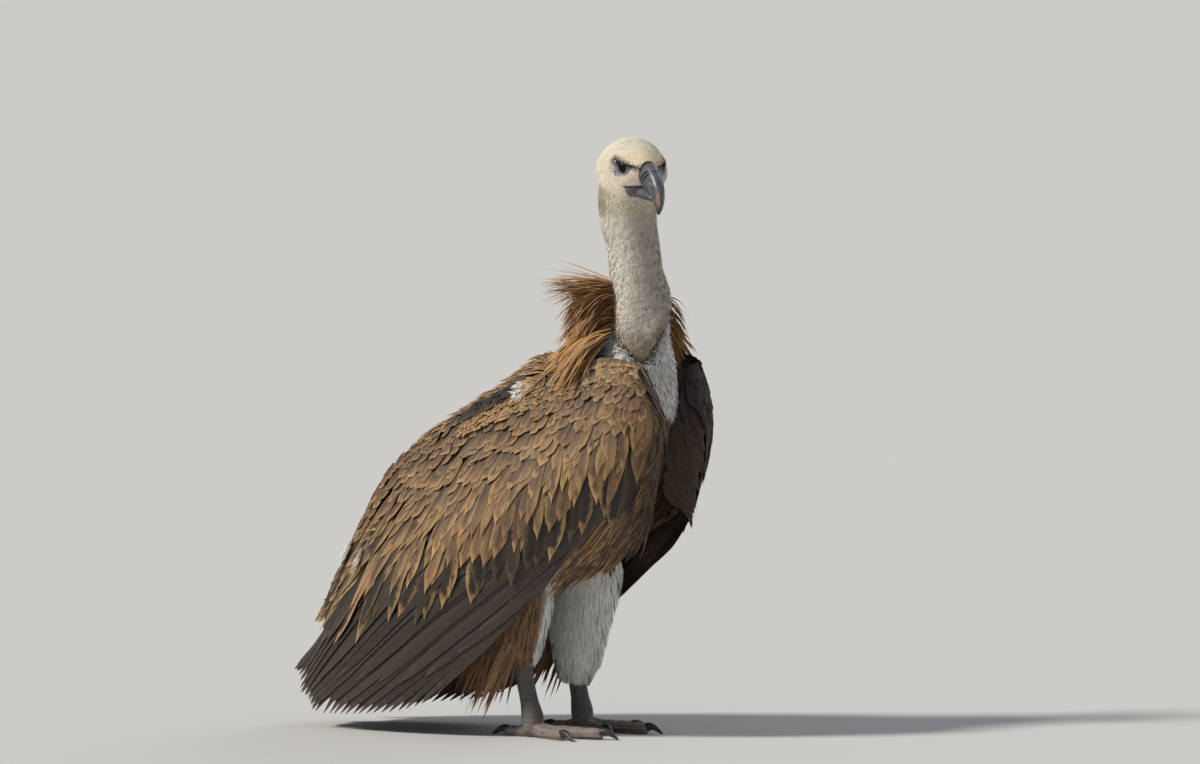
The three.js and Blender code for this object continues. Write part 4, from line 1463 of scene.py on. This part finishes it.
def build_trousers(ground, covered):
    """Fine feathers over the thighs, and long loose plumes that hang behind them."""
    rng = np.random.default_rng(35)
    coat = Coat("trousers")
    hang = lambda p, n: np.broadcast_to([0, 0.12, -1.0], p.shape)

    def of_thigh(points, normals):
        return (1 - covered) * on_thigh(points)

    roots, normals = ground.scatter(of_thigh, 3.9, rng)
    count = len(roots)
    size = rng.uniform(20, 38, count) * MM
    lowest = np.where(roots[:, 0] < 0, HEM["right"] - 6, HEM["left"] - 8) * MM
    uneven = (4 * waves(roots, 0.006, 17) + rng.uniform(-7, 3, count)) * MM
    size = np.clip(np.minimum(size, roots[:, 2] - lowest - uneven), 0.006, None)
    line, facing = ground.hug(roots, hang, size, 7)
    line = raised(line, facing, -0.5, rng.uniform(4, 9, count))
    tint, rim = trouser_colours(roots, rng)
    coat.add(line, facing, rng.uniform(1.3, 2.6, count) * MM, "lance", tint, rim, unwrap(roots, 0, 320), rng,
             columns=3, roll=rng.normal(0, 0.3, count), ragged=0.12, soft=0.7)

    def loose(points, normals):
        ahead, _, up = back_to_bird(points).T
        return of_thigh(points, normals) * thigh_rufous(points) * (up > 118) * (ahead < -14)

    roots, normals = ground.scatter(loose, 7, rng)
    count = len(roots)
    line, facing = hanging(roots, normals, 0.52, rng.uniform(60, 118, count) * MM, 9, rng)
    tint, rim = trouser_colours(roots, rng)
    coat.add(line, facing, rng.uniform(2, 3.4, count) * MM, "lance", tint, rim, unwrap(roots, 0, 320), rng,
             columns=3, roll=rng.normal(0, 0.3, count), ragged=0.12, soft=0.4)
    coat.build(vane_material("trousers", 0.3, 50.0, WHITE, Roughness=0.85), "trousers")


# ---------- Wings ----------
COVERT_ROWS = [  # where the tips lie down the coverts, then how far apart and how long the feathers are
    (0.045, 10, 22), (0.1, 11, 26), (0.155, 11.5, 30), (0.215, 12, 34),
    (0.275, 12.5, 36), (0.335, 13, 40), (0.4, 14, 46), (0.48, 15.5, 54),
    (0.575, 17.5, 66), (0.68, 19, 82), (0.79, 20, 92), (0.89, 21, 100),
    (1.07, 23, 108),
]
LARGE_FROM = 8  # the first row of long pointed coverts
STRAY_TUFTS = [(0.382, 0.01, 1.0, 150), (0.807, 0.05, 0.5, 70), (0.75, 0.22, -0.5, 60)]  # u, v, turn, count


WING_TURN = ([-0.1, 0.1, 0.3, 0.5, 0.7, 0.85, 1], [4, 5, 8, 12, 18, 28, 40])  # degrees to the rear, by u
FLANK_TURN = ([0.3, 0.6, 0.85, 1.0, 1.1], [10, 22, 38, 54, 62])  # degrees to the rear, by v


def swept(turn):
    """Down, turned to the rear by so many radians."""
    return np.stack([0 * turn, np.sin(turn), -np.cos(turn)], -1)


def on_wing_map(u, v):
    """A place on the wing's own unwrap."""
    return np.stack([(u + 0.1) / 1.1, v], -1)


def spread_along(sheet, v_of, u_from, u_to, spacing, stagger, rng):
    """Values of u about that many millimetres apart along the line v = v_of(u)."""
    u = np.linspace(u_from, u_to, 400)
    points = sheet.at(u, v_of(u))[0]
    far = np.concatenate([[0], np.cumsum(np.linalg.norm(np.diff(points, axis=0), axis=1))]) / MM
    count = max(2, int(far[-1] / spacing))
    wanted = (np.arange(count) + 0.25 + 0.5 * stagger + rng.uniform(-0.36, 0.36, count)) * spacing
    return np.interp(wanted, far, u)


def covert_end(u):
    """How far down the wing the coverts reach, as v."""
    return np.interp(u, *COVERTS_END)


def covert_colours(name, number, u, rng):
    """The middle and the rim colours of a row of coverts."""
    count = len(u)
    # the wing's front darker: partly its darker marginal coverts, partly painted shade
    front_dark_and_shade = ramp(u, 0.22, 0.02) * ramp(number, 0, 3)
    upper = ramp(number, 5, 0)
    pick = rng.uniform(size=count)
    tint = blend(BROWN, TAN, pick * 0.55)
    rim = blend(GOLD, TAN, rng.uniform(0, 0.6, count))
    tint = blend(tint, DARK_BROWN, 0.45 * upper * np.ones(count))
    rim = blend(rim, BROWN, 0.35 * upper * ramp(number, 0, 2) * np.ones(count))
    if number < LARGE_FROM:
        rim = blend(rim, tint, rng.uniform(0.0, 0.6, count))
    if LARGE_FROM <= number <= LARGE_FROM + 2:
        tint = blend(tint, TAN, (pick > 0.5) * 0.55)
    if number == len(COVERT_ROWS) - 1:
        tint = blend(FLIGHT, DARK_BROWN, pick * 0.6) * 0.7
        rim = blend(rim, DARK_BROWN * 0.8, ramp(pick, 0.3, 0.5) * 0.85)
    # darker coverts and painted shade at the wing's front
    tint, rim = blend_both((tint, rim), (DARK_BROWN * 0.75, BROWN * 0.75), front_dark_and_shade * 0.85)
    # painted light: the first rows at the wing's front, lighter where the light falls on the shoulder
    crest = ramp(number, 3, 1) * ramp(u, 0.34, 0.2)
    tint = blend(tint, SHOULDER_LIGHT, crest * 0.55)
    rim = blend(rim, SHOULDER_LIGHT_RIM, crest * 0.6)
    # painted shade on the front of the left wing, the side turned from the light
    if name == "left":
        tint, rim = blend_both((tint, rim), (DARK_BROWN * 0.45, DARK_BROWN * 0.75), ramp(u, 0.26, 0.1))
    rim = blend(rim, tint, 0.2)
    return vary(tint * 1.05, count, rng, 0.16), vary(rim, count, rng, 0.12)


def add_stray_feathers(coat, sheet, rng):
    """White feathers that lie over the right wing: a tuft at the gap by the mantle, and a few behind."""
    *places, how_many = zip(*STRAY_TUFTS)
    u, v, turn = (np.repeat(values, how_many) for values in places)
    count = len(u)
    u = u + rng.uniform(-1, 1, count) * np.where(u < 0.5, 0.018, 0.012)
    v = v + rng.uniform(-1, 1, count) * 0.026
    turn = turn + rng.normal(0, 0.34, count)
    length = rng.uniform(9, 19, count) * MM
    line, normal, _ = sheet.march(u, v, lambda *_: swept(turn), length, 7)
    line = raised(line, normal, 2.5, rng.uniform(4, 8, count))
    tint = blend(WHITE, TUFT_GOLD, ramp(u, 0.388, 0.376) * (u < 0.5) * 0.9)
    half = rng.uniform(0.5, 1.1, count) * MM
    coat.add(line, normal, half, "lance", tint, tint, on_wing_map(u, np.clip(v, 0, 1)), rng, columns=3,
             ragged=0.1)


def build_coverts(name, side):
    """Rows of coverts from the wing's top down, small and round, then large and pointed."""
    sheet = WINGS[name]
    rng = np.random.default_rng(41 + side)
    small = Coat(f"coverts_small_{name}")
    large = Coat(f"coverts_large_{name}", patch=0.03)
    for number, (tip, spacing, length) in enumerate(COVERT_ROWS):
        big = number >= LARGE_FROM
        u_from = -0.085 if name == "right" or big else np.interp(number, [4, 7], [0.02, -0.02])
        u = spread_along(sheet, lambda x: tip * covert_end(x), u_from, 0.95, spacing, number % 2, rng)
        u = u[(u < 0.66) | ((u < 0.8) & (number % 2 == 0)) | (number % 4 == 0)]
        count = len(u)
        step = tip - COVERT_ROWS[max(number - 1, 0)][0]
        v = (tip + step * rng.uniform(-0.6, 0.6, count)) * covert_end(u)
        size = length * rng.uniform(0.85, 1.15, count) * (1 + 0.35 * ramp(u, 0.6, 0.72)) * MM
        off = rng.normal(0, 0.09, count)
        flow = lambda u, v, off=off: swept(np.radians(np.interp(u, *WING_TURN)) + off)
        line, normal = sheet.back_from(u, v, flow, size, 11 if big else 8)
        root_low = np.interp(number, [0, 4], [-1.5, -4.2])
        full = 7 * bell(u - 0.01, 0.06) * ramp(v, 0, 0.12) * ramp(v, 0.75, 0.5)
        line = raised(line, normal, root_low + full, full + 0.5 - 0.1 * number + rng.normal(0, 0.5, count))
        half = spacing * (0.62 if big else 0.68) * rng.uniform(0.85, 1.15, count) * MM
        half = half * (1 + 0.12 * ramp(u, 0.66, 0.8))
        tint, rim = covert_colours(name, number, u, rng)
        if name == "right":
            # painted shadow in the gap by the right wing's top edge
            tint, rim = blend_both((tint, rim), SLOT_SHADOW, in_slot_shadow(line[:, -1]))
        coat, shape, columns = (large, "pointed", 7) if big else (small, "round", 5)
        roll = -side * 0.1 + rng.normal(0, 0.12, count)
        coat.add(line, normal, half, shape, tint, rim, on_wing_map(u, np.full(count, tip)), rng,
                 columns=columns, camber=0.24, roll=roll, lag=0.05, ragged=0.03)
    if name == "right":
        add_stray_feathers(small, sheet, rng)
    looks = {small: (0.28, 30.0, DARK_SHAFT, (0.3, 0.75)), large: (0.35, 40.0, DARK_SHAFT, (0.3, 0.7))}
    for coat, look in looks.items():
        coat.build(vane_material(coat.name, *look, Roughness=0.7), "plumage")


def build_flight(name, side):
    """Primaries that fan out to the wing's tip, and the ends of the secondaries over them."""
    sheet = WINGS[name]
    rng = np.random.default_rng(51 + side)
    coat = Coat(f"flight_{name}", patch=0.04)

    def quills(u, v, turn, half, height):
        """A row of quills that end at (u, v). Any that would pass below the wing's edge are turned up."""
        count = len(u)
        length = np.full(count, QUILL)
        for _ in range(14):
            away = lambda *_, turn=turn: -swept(turn)
            below = sheet.march(u, v, away, length * 0.6, 25)[2][..., 1].max(1) > np.maximum(v, 1.0) + 0.02
            turn = turn - np.radians(1.5) * below
        root_line = lambda x: covert_end(x) * 0.55
        line, normal = sheet.back_from(u, v, lambda *_: swept(turn), length, 26, root_line)
        line = raised(line, normal, height - 1.5, height + rng.normal(0, 0.3, count))
        tint = vary(blend(FLIGHT, DARK_BROWN, 0.5 * rng.uniform(size=count)), count, rng, 0.16, 0.02)
        # painted shade: the left wing's quills darker, being on the side turned from the light
        tint = tint * (0.7 if name == "left" else 1)
        root = np.stack([np.linspace(0, 1, count), np.full(count, (height + 8) / 8)], -1)
        # rims of paler edge and painted highlight
        coat.add(line, normal, half * rng.uniform(0.94, 1.06, count) * MM, "flight", tint,
                 vary(FLIGHT_EDGE_AND_HIGHLIGHT, count, rng, 0.1), root, rng, columns=7, camber=0.14,
                 roll=-side * 0.22, lag=0.012, ragged=0.02)

    for height, shift in ((-6.2, 0.5), (-4.6, 0.0)):
        share = (np.arange(10) + shift) / 10
        u = 1.02 - 0.012 * np.abs(np.sin(share * 7))
        quills(u, 0.03 + 0.97 * share, np.radians(50 + 5 * share), 12.5, height)
        share = (np.arange(15) + shift) / 15
        u = 0.985 - 0.72 * share
        quills(u, np.full(15, 1.0), np.radians(56 - 4 * share), 10.5, height)
    u = np.array([0.93, 0.87, 0.81, 0.75, 0.69, 0.62, 0.55, 0.48, 0.41])
    v = np.array([0.6, 0.7, 0.78, 0.84, 0.88, 0.91, 0.93, 0.95, 0.96])
    quills(u, v, np.radians(50 + 4 * v), 10.5, -3.0)
    material = vane_material(f"flight_{name}", 0.75, 90.0, DARK_SHAFT, Roughness=0.5)
    coat.build(material, "flight", f"wing_{name}_secondaries", f"wing_{name}_primaries")


def build_flank(name, side):
    """Long streaky plumes of the breast that lie over the front of the wing's lower edge."""
    sheet = WINGS[name]
    rng = np.random.default_rng(61 + side)
    coat = Coat(f"flank_{name}")
    count = COUNTS[name]
    u = rng.uniform(-0.1, 0.06 if name == "right" else -0.01, count)
    v = rng.uniform(0.3, 1.02, count)
    if name == "right":
        low = rng.uniform(size=count) < 0.35
        u = np.where(low, rng.uniform(0.04, 0.24, count), u)
        v = np.where(low, rng.uniform(0.86, 1.03, count), v)
    lean = rng.normal(0, 0.08, count)

    def sweep(u, v):
        _, _, along, down = sheet.at(u, v)
        turn = np.radians(np.interp(v, *FLANK_TURN)) + lean
        return unit(down) * np.cos(turn)[:, None] + unit(along) * np.sin(turn)[:, None]

    length = rng.uniform(52, 92, count) * (1 if name == "right" else 0.6) * MM
    line, normal, _ = sheet.march(u, v, sweep, length, 11)
    line = raised(line, normal, -3.5, rng.uniform(0, 4, count))
    tint = blend(RUFOUS * 0.7, DARK_BROWN * 0.6, rng.uniform(0.1, 1.1, count).clip(0, 1))
    rim = blend(DARK_BROWN, blend(BROWN, GOLD, rng.uniform(0.2, 1.0, count)), rng.uniform(size=count) < 0.45)
    shade = ramp(u, 0.12, -0.04) * rng.uniform(0.5, 1, count)
    tint, rim = blend(tint, FLIGHT * 0.7, shade * 0.75), blend(rim, DARK_BROWN, shade * 0.8)
    # painted shade: the left flank's plumes darker, being on the side turned from the light
    if name == "left":
        tint, rim = blend_both((tint, rim), (DARK_BROWN * 0.6, BROWN * 0.5), 0.8)
    coat.add(line, normal, rng.uniform(2.6, 4.4, count) * MM, "lance", vary(tint, count, rng), rim,
             np.stack([(u + 0.1) / 0.4, np.clip(v, 0, 1)], -1), rng, columns=3,
             roll=rng.normal(0, 0.2, count), ragged=0.1)
    coat.build(vane_material(f"flank_{name}", 0.4, 50.0, PALE_SHAFT, Roughness=0.75), "plumage")


# ---------- Tail ----------
def build_tail():
    """One fan of quills, the middle ones uppermost."""
    rng = np.random.default_rng(71)
    coat = Coat("tail", patch=0.06)
    count = TAIL_FEATHERS
    shares = np.linspace(-0.86, 0.86, count)
    order = np.abs(shares)
    length = 0.222 - 0.014 * shares**2
    fan = lambda u, v: TAIL.at(u, v)[3] + LEFT * (shares * 0.05)[:, None]
    line, normal, _ = TAIL.march(shares * 0.55, np.zeros(count), fan, length, 16)
    line = raised(line, normal, -2.5 - 2.5 * order, -1.2 - 3.0 * order)
    tint = vary(FLIGHT, count, rng, 0.08)
    # rims of paler edge and painted highlight
    rim = vary(FLIGHT_EDGE_AND_HIGHLIGHT, count, rng)
    root = np.stack([(shares + 1) / 2, np.linspace(0, 1, count)], -1)
    coat.add(line, normal, 17 * MM, "flight", tint, rim, root, rng, columns=9, camber=0.14,
             roll=-0.16 * np.sign(shares), lag=0.04, ragged=0.02)
    coat.build(vane_material("tail", 0.86, 80.0, DARK_SHAFT, Roughness=0.5), "flight", "tail")


# ---------- Bill and eyes ----------
def nostril(ahead, left, up):
    """1 in the two slits on each side of the cere, and 1 on the bar between them."""
    (lean_ahead, lean_up), at = NOSTRIL["lean"], NOSTRIL["at"]
    along = ((ahead - at[0]) * lean_ahead + (up - at[1]) * lean_up) / NOSTRIL["reach"]
    off = (up - at[1]) * lean_ahead - (ahead - at[0]) * lean_up
    slit = np.exp(-(along**4) - (((np.abs(off) - NOSTRIL["apart"]) / NOSTRIL["width"]) ** 4))
    return slit * (np.abs(left) > 4), np.exp(-(along**4) - (off / 0.9) ** 4)


def build_upper_bill(material):
    """The cere and the hooked bill: a rim and a groove where they meet, and the nostrils' slits."""
    along, around = 210, 150
    ahead, left, up = back_to_head(loft_grid(UPPER_BILL, along, around, HEAD_LEFT).reshape(-1, 3)).T
    t = np.repeat(np.linspace(0, 1, along), around)
    angle = np.tile(np.linspace(0, 2 * math.pi, around, endpoint=False), along)
    left = left * (1 - 0.12 * np.clip(-np.sin(angle), 0, 1) ** 2 * ramp(t, 0.2, 0.5))
    slit, bar = nostril(ahead, left, up)
    left = left - np.sign(left) * slit * NOSTRIL["depth"]
    past_cere = ahead - HEAD["cere"]
    lip = bell(past_cere, 1.3) * (t < 0.6)
    groove = bell(past_cere - 2.2, 1.1) * (t < 0.6)
    swell = 1 + 0.02 * lip - 0.018 * groove
    middle = np.repeat(through(BILL_MIDDLE, np.linspace(0, 1, along)), around)
    points = in_head(np.stack([ahead, left * swell, middle + (up - middle) * swell], -1))
    mesh = mesh_of("bill_top", points, tube_faces(along, around))
    down_the_bill = np.stack([t * 1.6, np.sin(angle) * 1.3, np.cos(angle) * 1.3], -1)
    streaks = waves(down_the_bill, 0.11, 31) + 0.6 * waves(down_the_bill * [3, 1, 1], 0.05, 32)
    horn = ramp(t, 0.36, 0.4)
    worn = ramp(waves(down_the_bill, 0.2, 33), 0.2, 0.9) * horn * ramp(t, 0.9, 0.7)
    top = np.clip(np.sin(angle), 0, 1)
    pale = ramp(t, 0.55, 0.7) * ramp(t, 0.88, 0.78) * ramp(top, 0.45, 0.75) * ramp(top, 1.02, 0.9)
    paint(mesh, "tint", layered(
        blend(CERE, SLATE * 0.78, horn) * (1 + 0.2 * streaks[:, None]),
        (WORN, worn * 0.45),
        (BILL_BASE, ramp(t, 0.14, 0.08)),
        (CULMEN, pale * (0.66 + 0.2 * streaks)),
        (BILL_TIP, ramp(t, 0.84, 0.98) * 0.8),
        (NOSTRIL_BAR, bar * 0.7),
        # painted shade inside the nostrils' slits
        (NOSTRIL_SHADE, np.clip(slit * 3.5, 0, 1)),
        # painted shade in the groove where the cere meets the horn
        (CERE_GROOVE_SHADE, groove * 0.6),
    ))
    declare(new_object("bill_top", mesh, material), "horn", "cere", "bill_upper")


def build_lower_bill(material):
    """The lower bill, narrow at its root, where the jaw's skin hides it."""
    along, around = 70, 64
    points = loft_grid(LOWER_BILL, along, around, HEAD_LEFT).reshape(-1, 3)
    t = np.repeat(np.linspace(0, 1, along), around)
    q = back_to_head(points)
    q[:, 1] *= 1 - 0.38 * ramp(t, 0.45, 0.1)
    mesh = mesh_of("bill_below", in_head(q), tube_faces(along, around))
    colour = blend(MANDIBLE, SLATE * 0.8, ramp(t, 0.3, 0.7))
    paint(mesh, "tint", colour * (1 + 0.22 * waves(points, 0.0028, 12)[:, None]))
    declare(new_object("bill_below", mesh, material), "horn", "bill_lower")


def build_bill():
    material = horn_material("horn", 0.33)
    build_upper_bill(material)
    build_lower_bill(material)


def sphere_grid(rows, columns):
    """Directions over a sphere whose axis is +X, from its pole, as rings, and each one's two angles."""
    away = np.linspace(0.02, math.pi - 0.02, rows)[:, None]
    turn = np.linspace(0, 2 * math.pi, columns, endpoint=False)[None]
    away, turn = np.broadcast_arrays(away, turn)
    ball = np.stack([np.cos(away), np.sin(away) * np.cos(turn), np.sin(away) * np.sin(turn)], -1)
    return ball.reshape(-1, 3), away.ravel(), turn.ravel()


def build_eyes():
    """Glossy eyeballs, a little more domed over the iris, with their lids."""
    rows, columns = 60, 64
    ball, away, turn = sphere_grid(rows, columns)
    radius = EYE["radius"] * (1 + 0.05 * ramp(away, 0.75, 0.4))
    streak = 0.5 + 0.5 * np.sin(turn * 23 + 3 * np.sin(turn * 5))
    colour = layered(
        IRIS,
        (IRIS_STREAK, streak * 0.6),
        (PUPIL, ramp(away, 0.42, 0.38)),
        (IRIS_EDGE, ramp(away, 0.62, 0.7)),
        (EYEBALL, ramp(away, 0.95, 1.1)),
    )
    for name, side in SIDES.items():
        centre, gaze = eye_axis(side)
        over = flat_to(UP, gaze)
        axes = np.stack([gaze, over, np.cross(over, gaze)])
        points = centre + (ball * radius[..., None] * MM) @ axes
        mesh = mesh_of(f"eye_{name}_ball", points, tube_faces(rows, columns))
        paint(mesh, "tint", colour)
        s = Shader(f"eye_{name}", Roughness=0.12, Specular_IOR_Level=0.12, Coat_Weight=0.14,
                   Coat_Roughness=0.02)
        material = s.finish(s.tinted(s.painted("tint"), s.noise(900.0, 2), 0.15))
        declare(new_object(f"eye_{name}_ball", mesh, material), "eye", f"eye_{name}")
        build_lids(name, centre, axes)


LID_FOLDS = [  # from the lid's rim outward: degrees past the opening, and how far from the eye's middle
    (-3, 11.35), (-1, 11.9), (1, 12.5), (3.5, 12.7), (6, 12.2),
    (8, 12.1), (10.5, 12.75), (13, 12.85), (15.5, 12.2), (18, 12.2),
    (21, 12.8), (24, 12.5), (28, 11.6), (33, 10.4),
]
# the rings that lie deeper, between the folds, which get painted shade
SHADED_FOLDS = (0, 1, 4, 5, 8, 9)


def build_lids(name, centre, axes):
    """The rolled edges of the lids and the folds round them."""
    around = 96
    turn = np.linspace(0, 2 * math.pi, around, endpoint=False)
    high, wide = np.cos(turn), np.sin(turn)
    opening = np.radians(np.where(high > 0, EYE["opens_above"], EYE["opens_below"]))
    opening = opening * (1 + 0.06 * np.abs(wide))
    upper = ramp(high, -0.1, 0.6)
    rings = []
    for widen, radius in LID_FOLDS:
        away = opening + np.radians(widen * (1 - 0.8 * upper))
        depth = (radius - 0.6 * upper * (widen > 8))[:, None]
        direction = np.stack([np.cos(away), np.sin(away) * high, np.sin(away) * wide], -1)
        rings.append(centre + (direction * depth * MM) @ axes)
    mesh = mesh_of(f"lids_{name}", np.concatenate(rings), tube_faces(len(rings), around)[:-2])
    step = np.repeat(np.arange(len(rings)), around)
    above = np.tile(ramp(high, -0.1, 0.5), len(rings))
    paint(mesh, "tint", layered(
        LID_PALE,
        # painted shade in the grooves between the lids' folds
        (LID_GROOVE_SHADE, np.isin(step, SHADED_FOLDS) * 0.8),
        (LID * 0.8, ramp(step, 9, 11)),
        # painted shadow of the brow over the upper lid
        (UPPER_LID_SHADOW, above * 0.9),
    ))
    piece = new_object(f"lids_{name}", mesh, bpy.data.materials["skin"])
    with_modifier(piece, "SUBSURF", levels=1)
    declare(piece, "down")


# ---------- Legs and feet ----------
def scaled_sections(rows):
    return [(at, r, r, r) for at, r in rows]


def toe_lofts(name, angle, length, radius):
    """A toe and its claw, as sections of lofts, and the way across them."""
    turn = math.radians(angle) * -SIDES[name]
    centre = place(by_leg(name, (0, 0, 0)))
    forward = np.array([math.sin(turn), -math.cos(turn), 0])
    across = np.cross(UP, forward)
    spot = lambda far, up: centre + (forward * far + UP * up) * MM
    pad = radius * 0.86
    pads = max(2, int(length / 28 + 0.5)) * 2
    rows = [(spot(2, pad + 3), radius * 1.1)]
    for i in range(1, pads + 1):
        share = i / pads
        bulge = 1 if i % 2 else 0.88
        far = 12 + (length - 12) * share
        rows.append((spot(far, pad * (1 - 0.12 * share)), radius * bulge * (1 - 0.16 * share)))
    rows.append((spot(length + 2.5, pad * 0.9), radius * 0.62))
    rows.append((spot(length + 4, pad * 0.9), radius * 0.25))
    bend = lambda share, up, r: (spot(length + share * CLAW["length"], up), r)
    hook = [
        bend(-0.2, pad, CLAW["radius"] * 0.8),
        bend(0.12, pad + 2.5, CLAW["radius"]),
        bend(0.45, pad + 1.5, CLAW["radius"] * 0.78),
        bend(0.75, pad - 3, CLAW["radius"] * 0.5),
        bend(0.95, 1.6, 1.2),
    ]
    return scaled_sections(rows), scaled_sections(hook), across


def build_foot(name):
    """A bare shank and its toes as one scaled skin, and the claws."""
    r = LEG["tarsus"]
    shank = [
        ((-18, 3, LEG["hock_up"] + 12), 11, 11, 11),
        ((-17, 3, LEG["hock_up"]), 14.5, 13.5, 13.5),
        ((-12, 2, 78), r, r, r - 1),
        ((-6, 1, 48), r, r, r - 1),
        ((-2, 0, LEG["ankle_up"]), 15, 14, 14.5),
        ((0, 0, 8), 13, 13, 13),
    ]
    solids = [loft_mesh("part", sections_at(shank, lambda at: place(by_leg(name, at))), 60, 40)]
    claws = bmesh.new()
    for toe in TOES:
        fleshy, hook, across = toe_lofts(name, toe["angle"], toe["length"], toe["radius"])
        solids.append(loft_mesh("part", fleshy, 50, 32, across))
        claws.from_mesh(loft_mesh("part", hook, 40, 28, across))
    piece = remeshed(f"foot_{name}_skin", solids, FINENESS["foot"], 4)
    mesh = piece.data
    points, normals = points_of(mesh), normals_of(mesh)
    relief = scales(points, normals, name)
    points = points + normals * ((relief - 0.6) * MM)[:, None]
    points[:, 2] = np.maximum(points[:, 2], 0.0)
    set_points(mesh, points)
    colour = blend(SHANK, TOE, ramp(height_of(points), 34, 12))
    paint(mesh, "tint", colour * (0.5 + 0.55 * relief[:, None]))
    dress(mesh, scute_material())
    declare(piece, "scutes", f"foot_{name}")

    horny = bpy.data.meshes.new(f"claws_{name}")
    claws.to_mesh(horny)
    claws.free()
    points = points_of(horny)
    points[:, 2] = np.maximum(points[:, 2], 0.0)
    set_points(horny, points)
    smooth(horny)
    paint(horny, "tint", np.broadcast_to(CLAW_HORN, (len(points), 3)))
    nodes = [f"claw_{name}_{toe['name']}" for toe in TOES]
    declare(new_object(f"claws_{name}", horny, horn_material(f"claw_{name}", 0.4)), "claw", *nodes)


def scales(points, normals, name):
    """The relief of the scales, 0 in the grooves and 1 on the plates: small hexagons on the shank,
    and broad plates across the top of each toe."""
    bird = back_to_bird(points)
    ahead, out = bird[:, 0] - FOOT_AHEAD[name], bird[:, 1] - SIDES[name] * LEG["left_of_middle"]
    turn = np.arctan2(out, ahead + 8) * SCUTE["round_shank"]
    x, y = turn / SCUTE["hexagon"], points[:, 2] / SCUTE["hexagon"]
    best = np.full(len(points), 9.0)
    second = np.full(len(points), 9.0)
    lift = y / 0.866
    for di in (-1, 0, 1):
        for dj in (-1, 0, 1):
            line = np.floor(lift) + di
            spot = np.floor(x - 0.5 * (line % 2)) + dj + 0.5 + 0.5 * (line % 2)
            away = np.hypot(x - spot, (lift - line - 0.5) * 0.866)
            second = np.minimum(second, np.maximum(best, away))
            best = np.minimum(best, away)
    hexagons = ramp(second - best, 0.02, 0.3)
    centre = place(by_leg(name, (0, 0, 0)))
    far = np.linalg.norm((points - centre)[:, :2], axis=1)
    bands = ramp(np.abs(((far / SCUTE["band"]) % 1) - 0.5), 0.5, 0.38)
    plates = between(hexagons, bands, ramp(normals[:, 2], 0.25, 0.6))
    return between(plates, hexagons, ramp(bird[:, 2], 24, 32))


# ---------- Studio ----------
def build_studio():
    """A pale floor and sky, a soft sun and a weak one from behind, and the camera."""
    corners = [(FLOOR_HALF * x, FLOOR_HALF * y, 0) for x, y in ((-1, -1), (1, -1), (1, 1), (-1, 1))]
    floor = mesh_of("floor", corners, [[0, 1, 2, 3]])
    new_object("floor", floor, floor_material())
    world = bpy.data.worlds.new("studio")
    world.use_nodes = True
    sky = world.node_tree.nodes["Background"]
    sky.inputs[0].default_value = (0.86, 0.9, 1.0, 1)
    sky.inputs[1].default_value = 0.3
    bpy.context.scene.world = world
    turn, rise = math.radians(CAMERA["azimuth"]), math.radians(CAMERA["elevation"])
    back = Vector((math.sin(turn) * math.cos(rise), -math.cos(turn) * math.cos(rise), math.sin(rise)))
    right = Vector((math.cos(turn), math.sin(turn), 0))
    for name, toward, strength, angle, colour in (
        ("key", back * 0.4 - right * 0.88 + Vector((0, 0, 0.9)), 3.0, 9, (1.0, 0.965, 0.91)),
        ("rim", -back * 0.8 + right * 0.7 + Vector((0, 0, 0.8)), 0.5, 30, (0.9, 0.95, 1.0)),
    ):
        light = bpy.data.lights.new(name, "SUN")
        light.energy = strength
        light.angle = math.radians(angle)
        light.color = colour
        orient(new_object(name, light), toward)
    camera = new_object("camera", bpy.data.cameras.new("camera"))
    feet = Vector(place((0, 0, 0)))
    aim = feet + right * CAMERA_AIM["right"] + Vector((0, 0, CAMERA_AIM["up"]))
    camera.location = aim + back * CAMERA["distance"]
    orient(camera, back)
    camera.data.sensor_width = 36
    camera.data.lens = camera.data.sensor_width * CAMERA["distance"] / CAMERA["frame_width"]
    camera.data.clip_end = 800
    bpy.context.scene.camera = camera
    bpy.context.scene.view_settings.view_transform = "Standard"


# ---------- The whole bird ----------
build_studio()
skin = build_skin()
skin_ground = Ground(skin.data)
build_bill()
build_eyes()
build_down(skin_ground)
build_ruff()
build_body(skin_ground)
for wing_name, wing_side in SIDES.items():
    build_coverts(wing_name, wing_side)
    build_flight(wing_name, wing_side)
    build_flank(wing_name, wing_side)
    build_foot(wing_name)
build_tail()
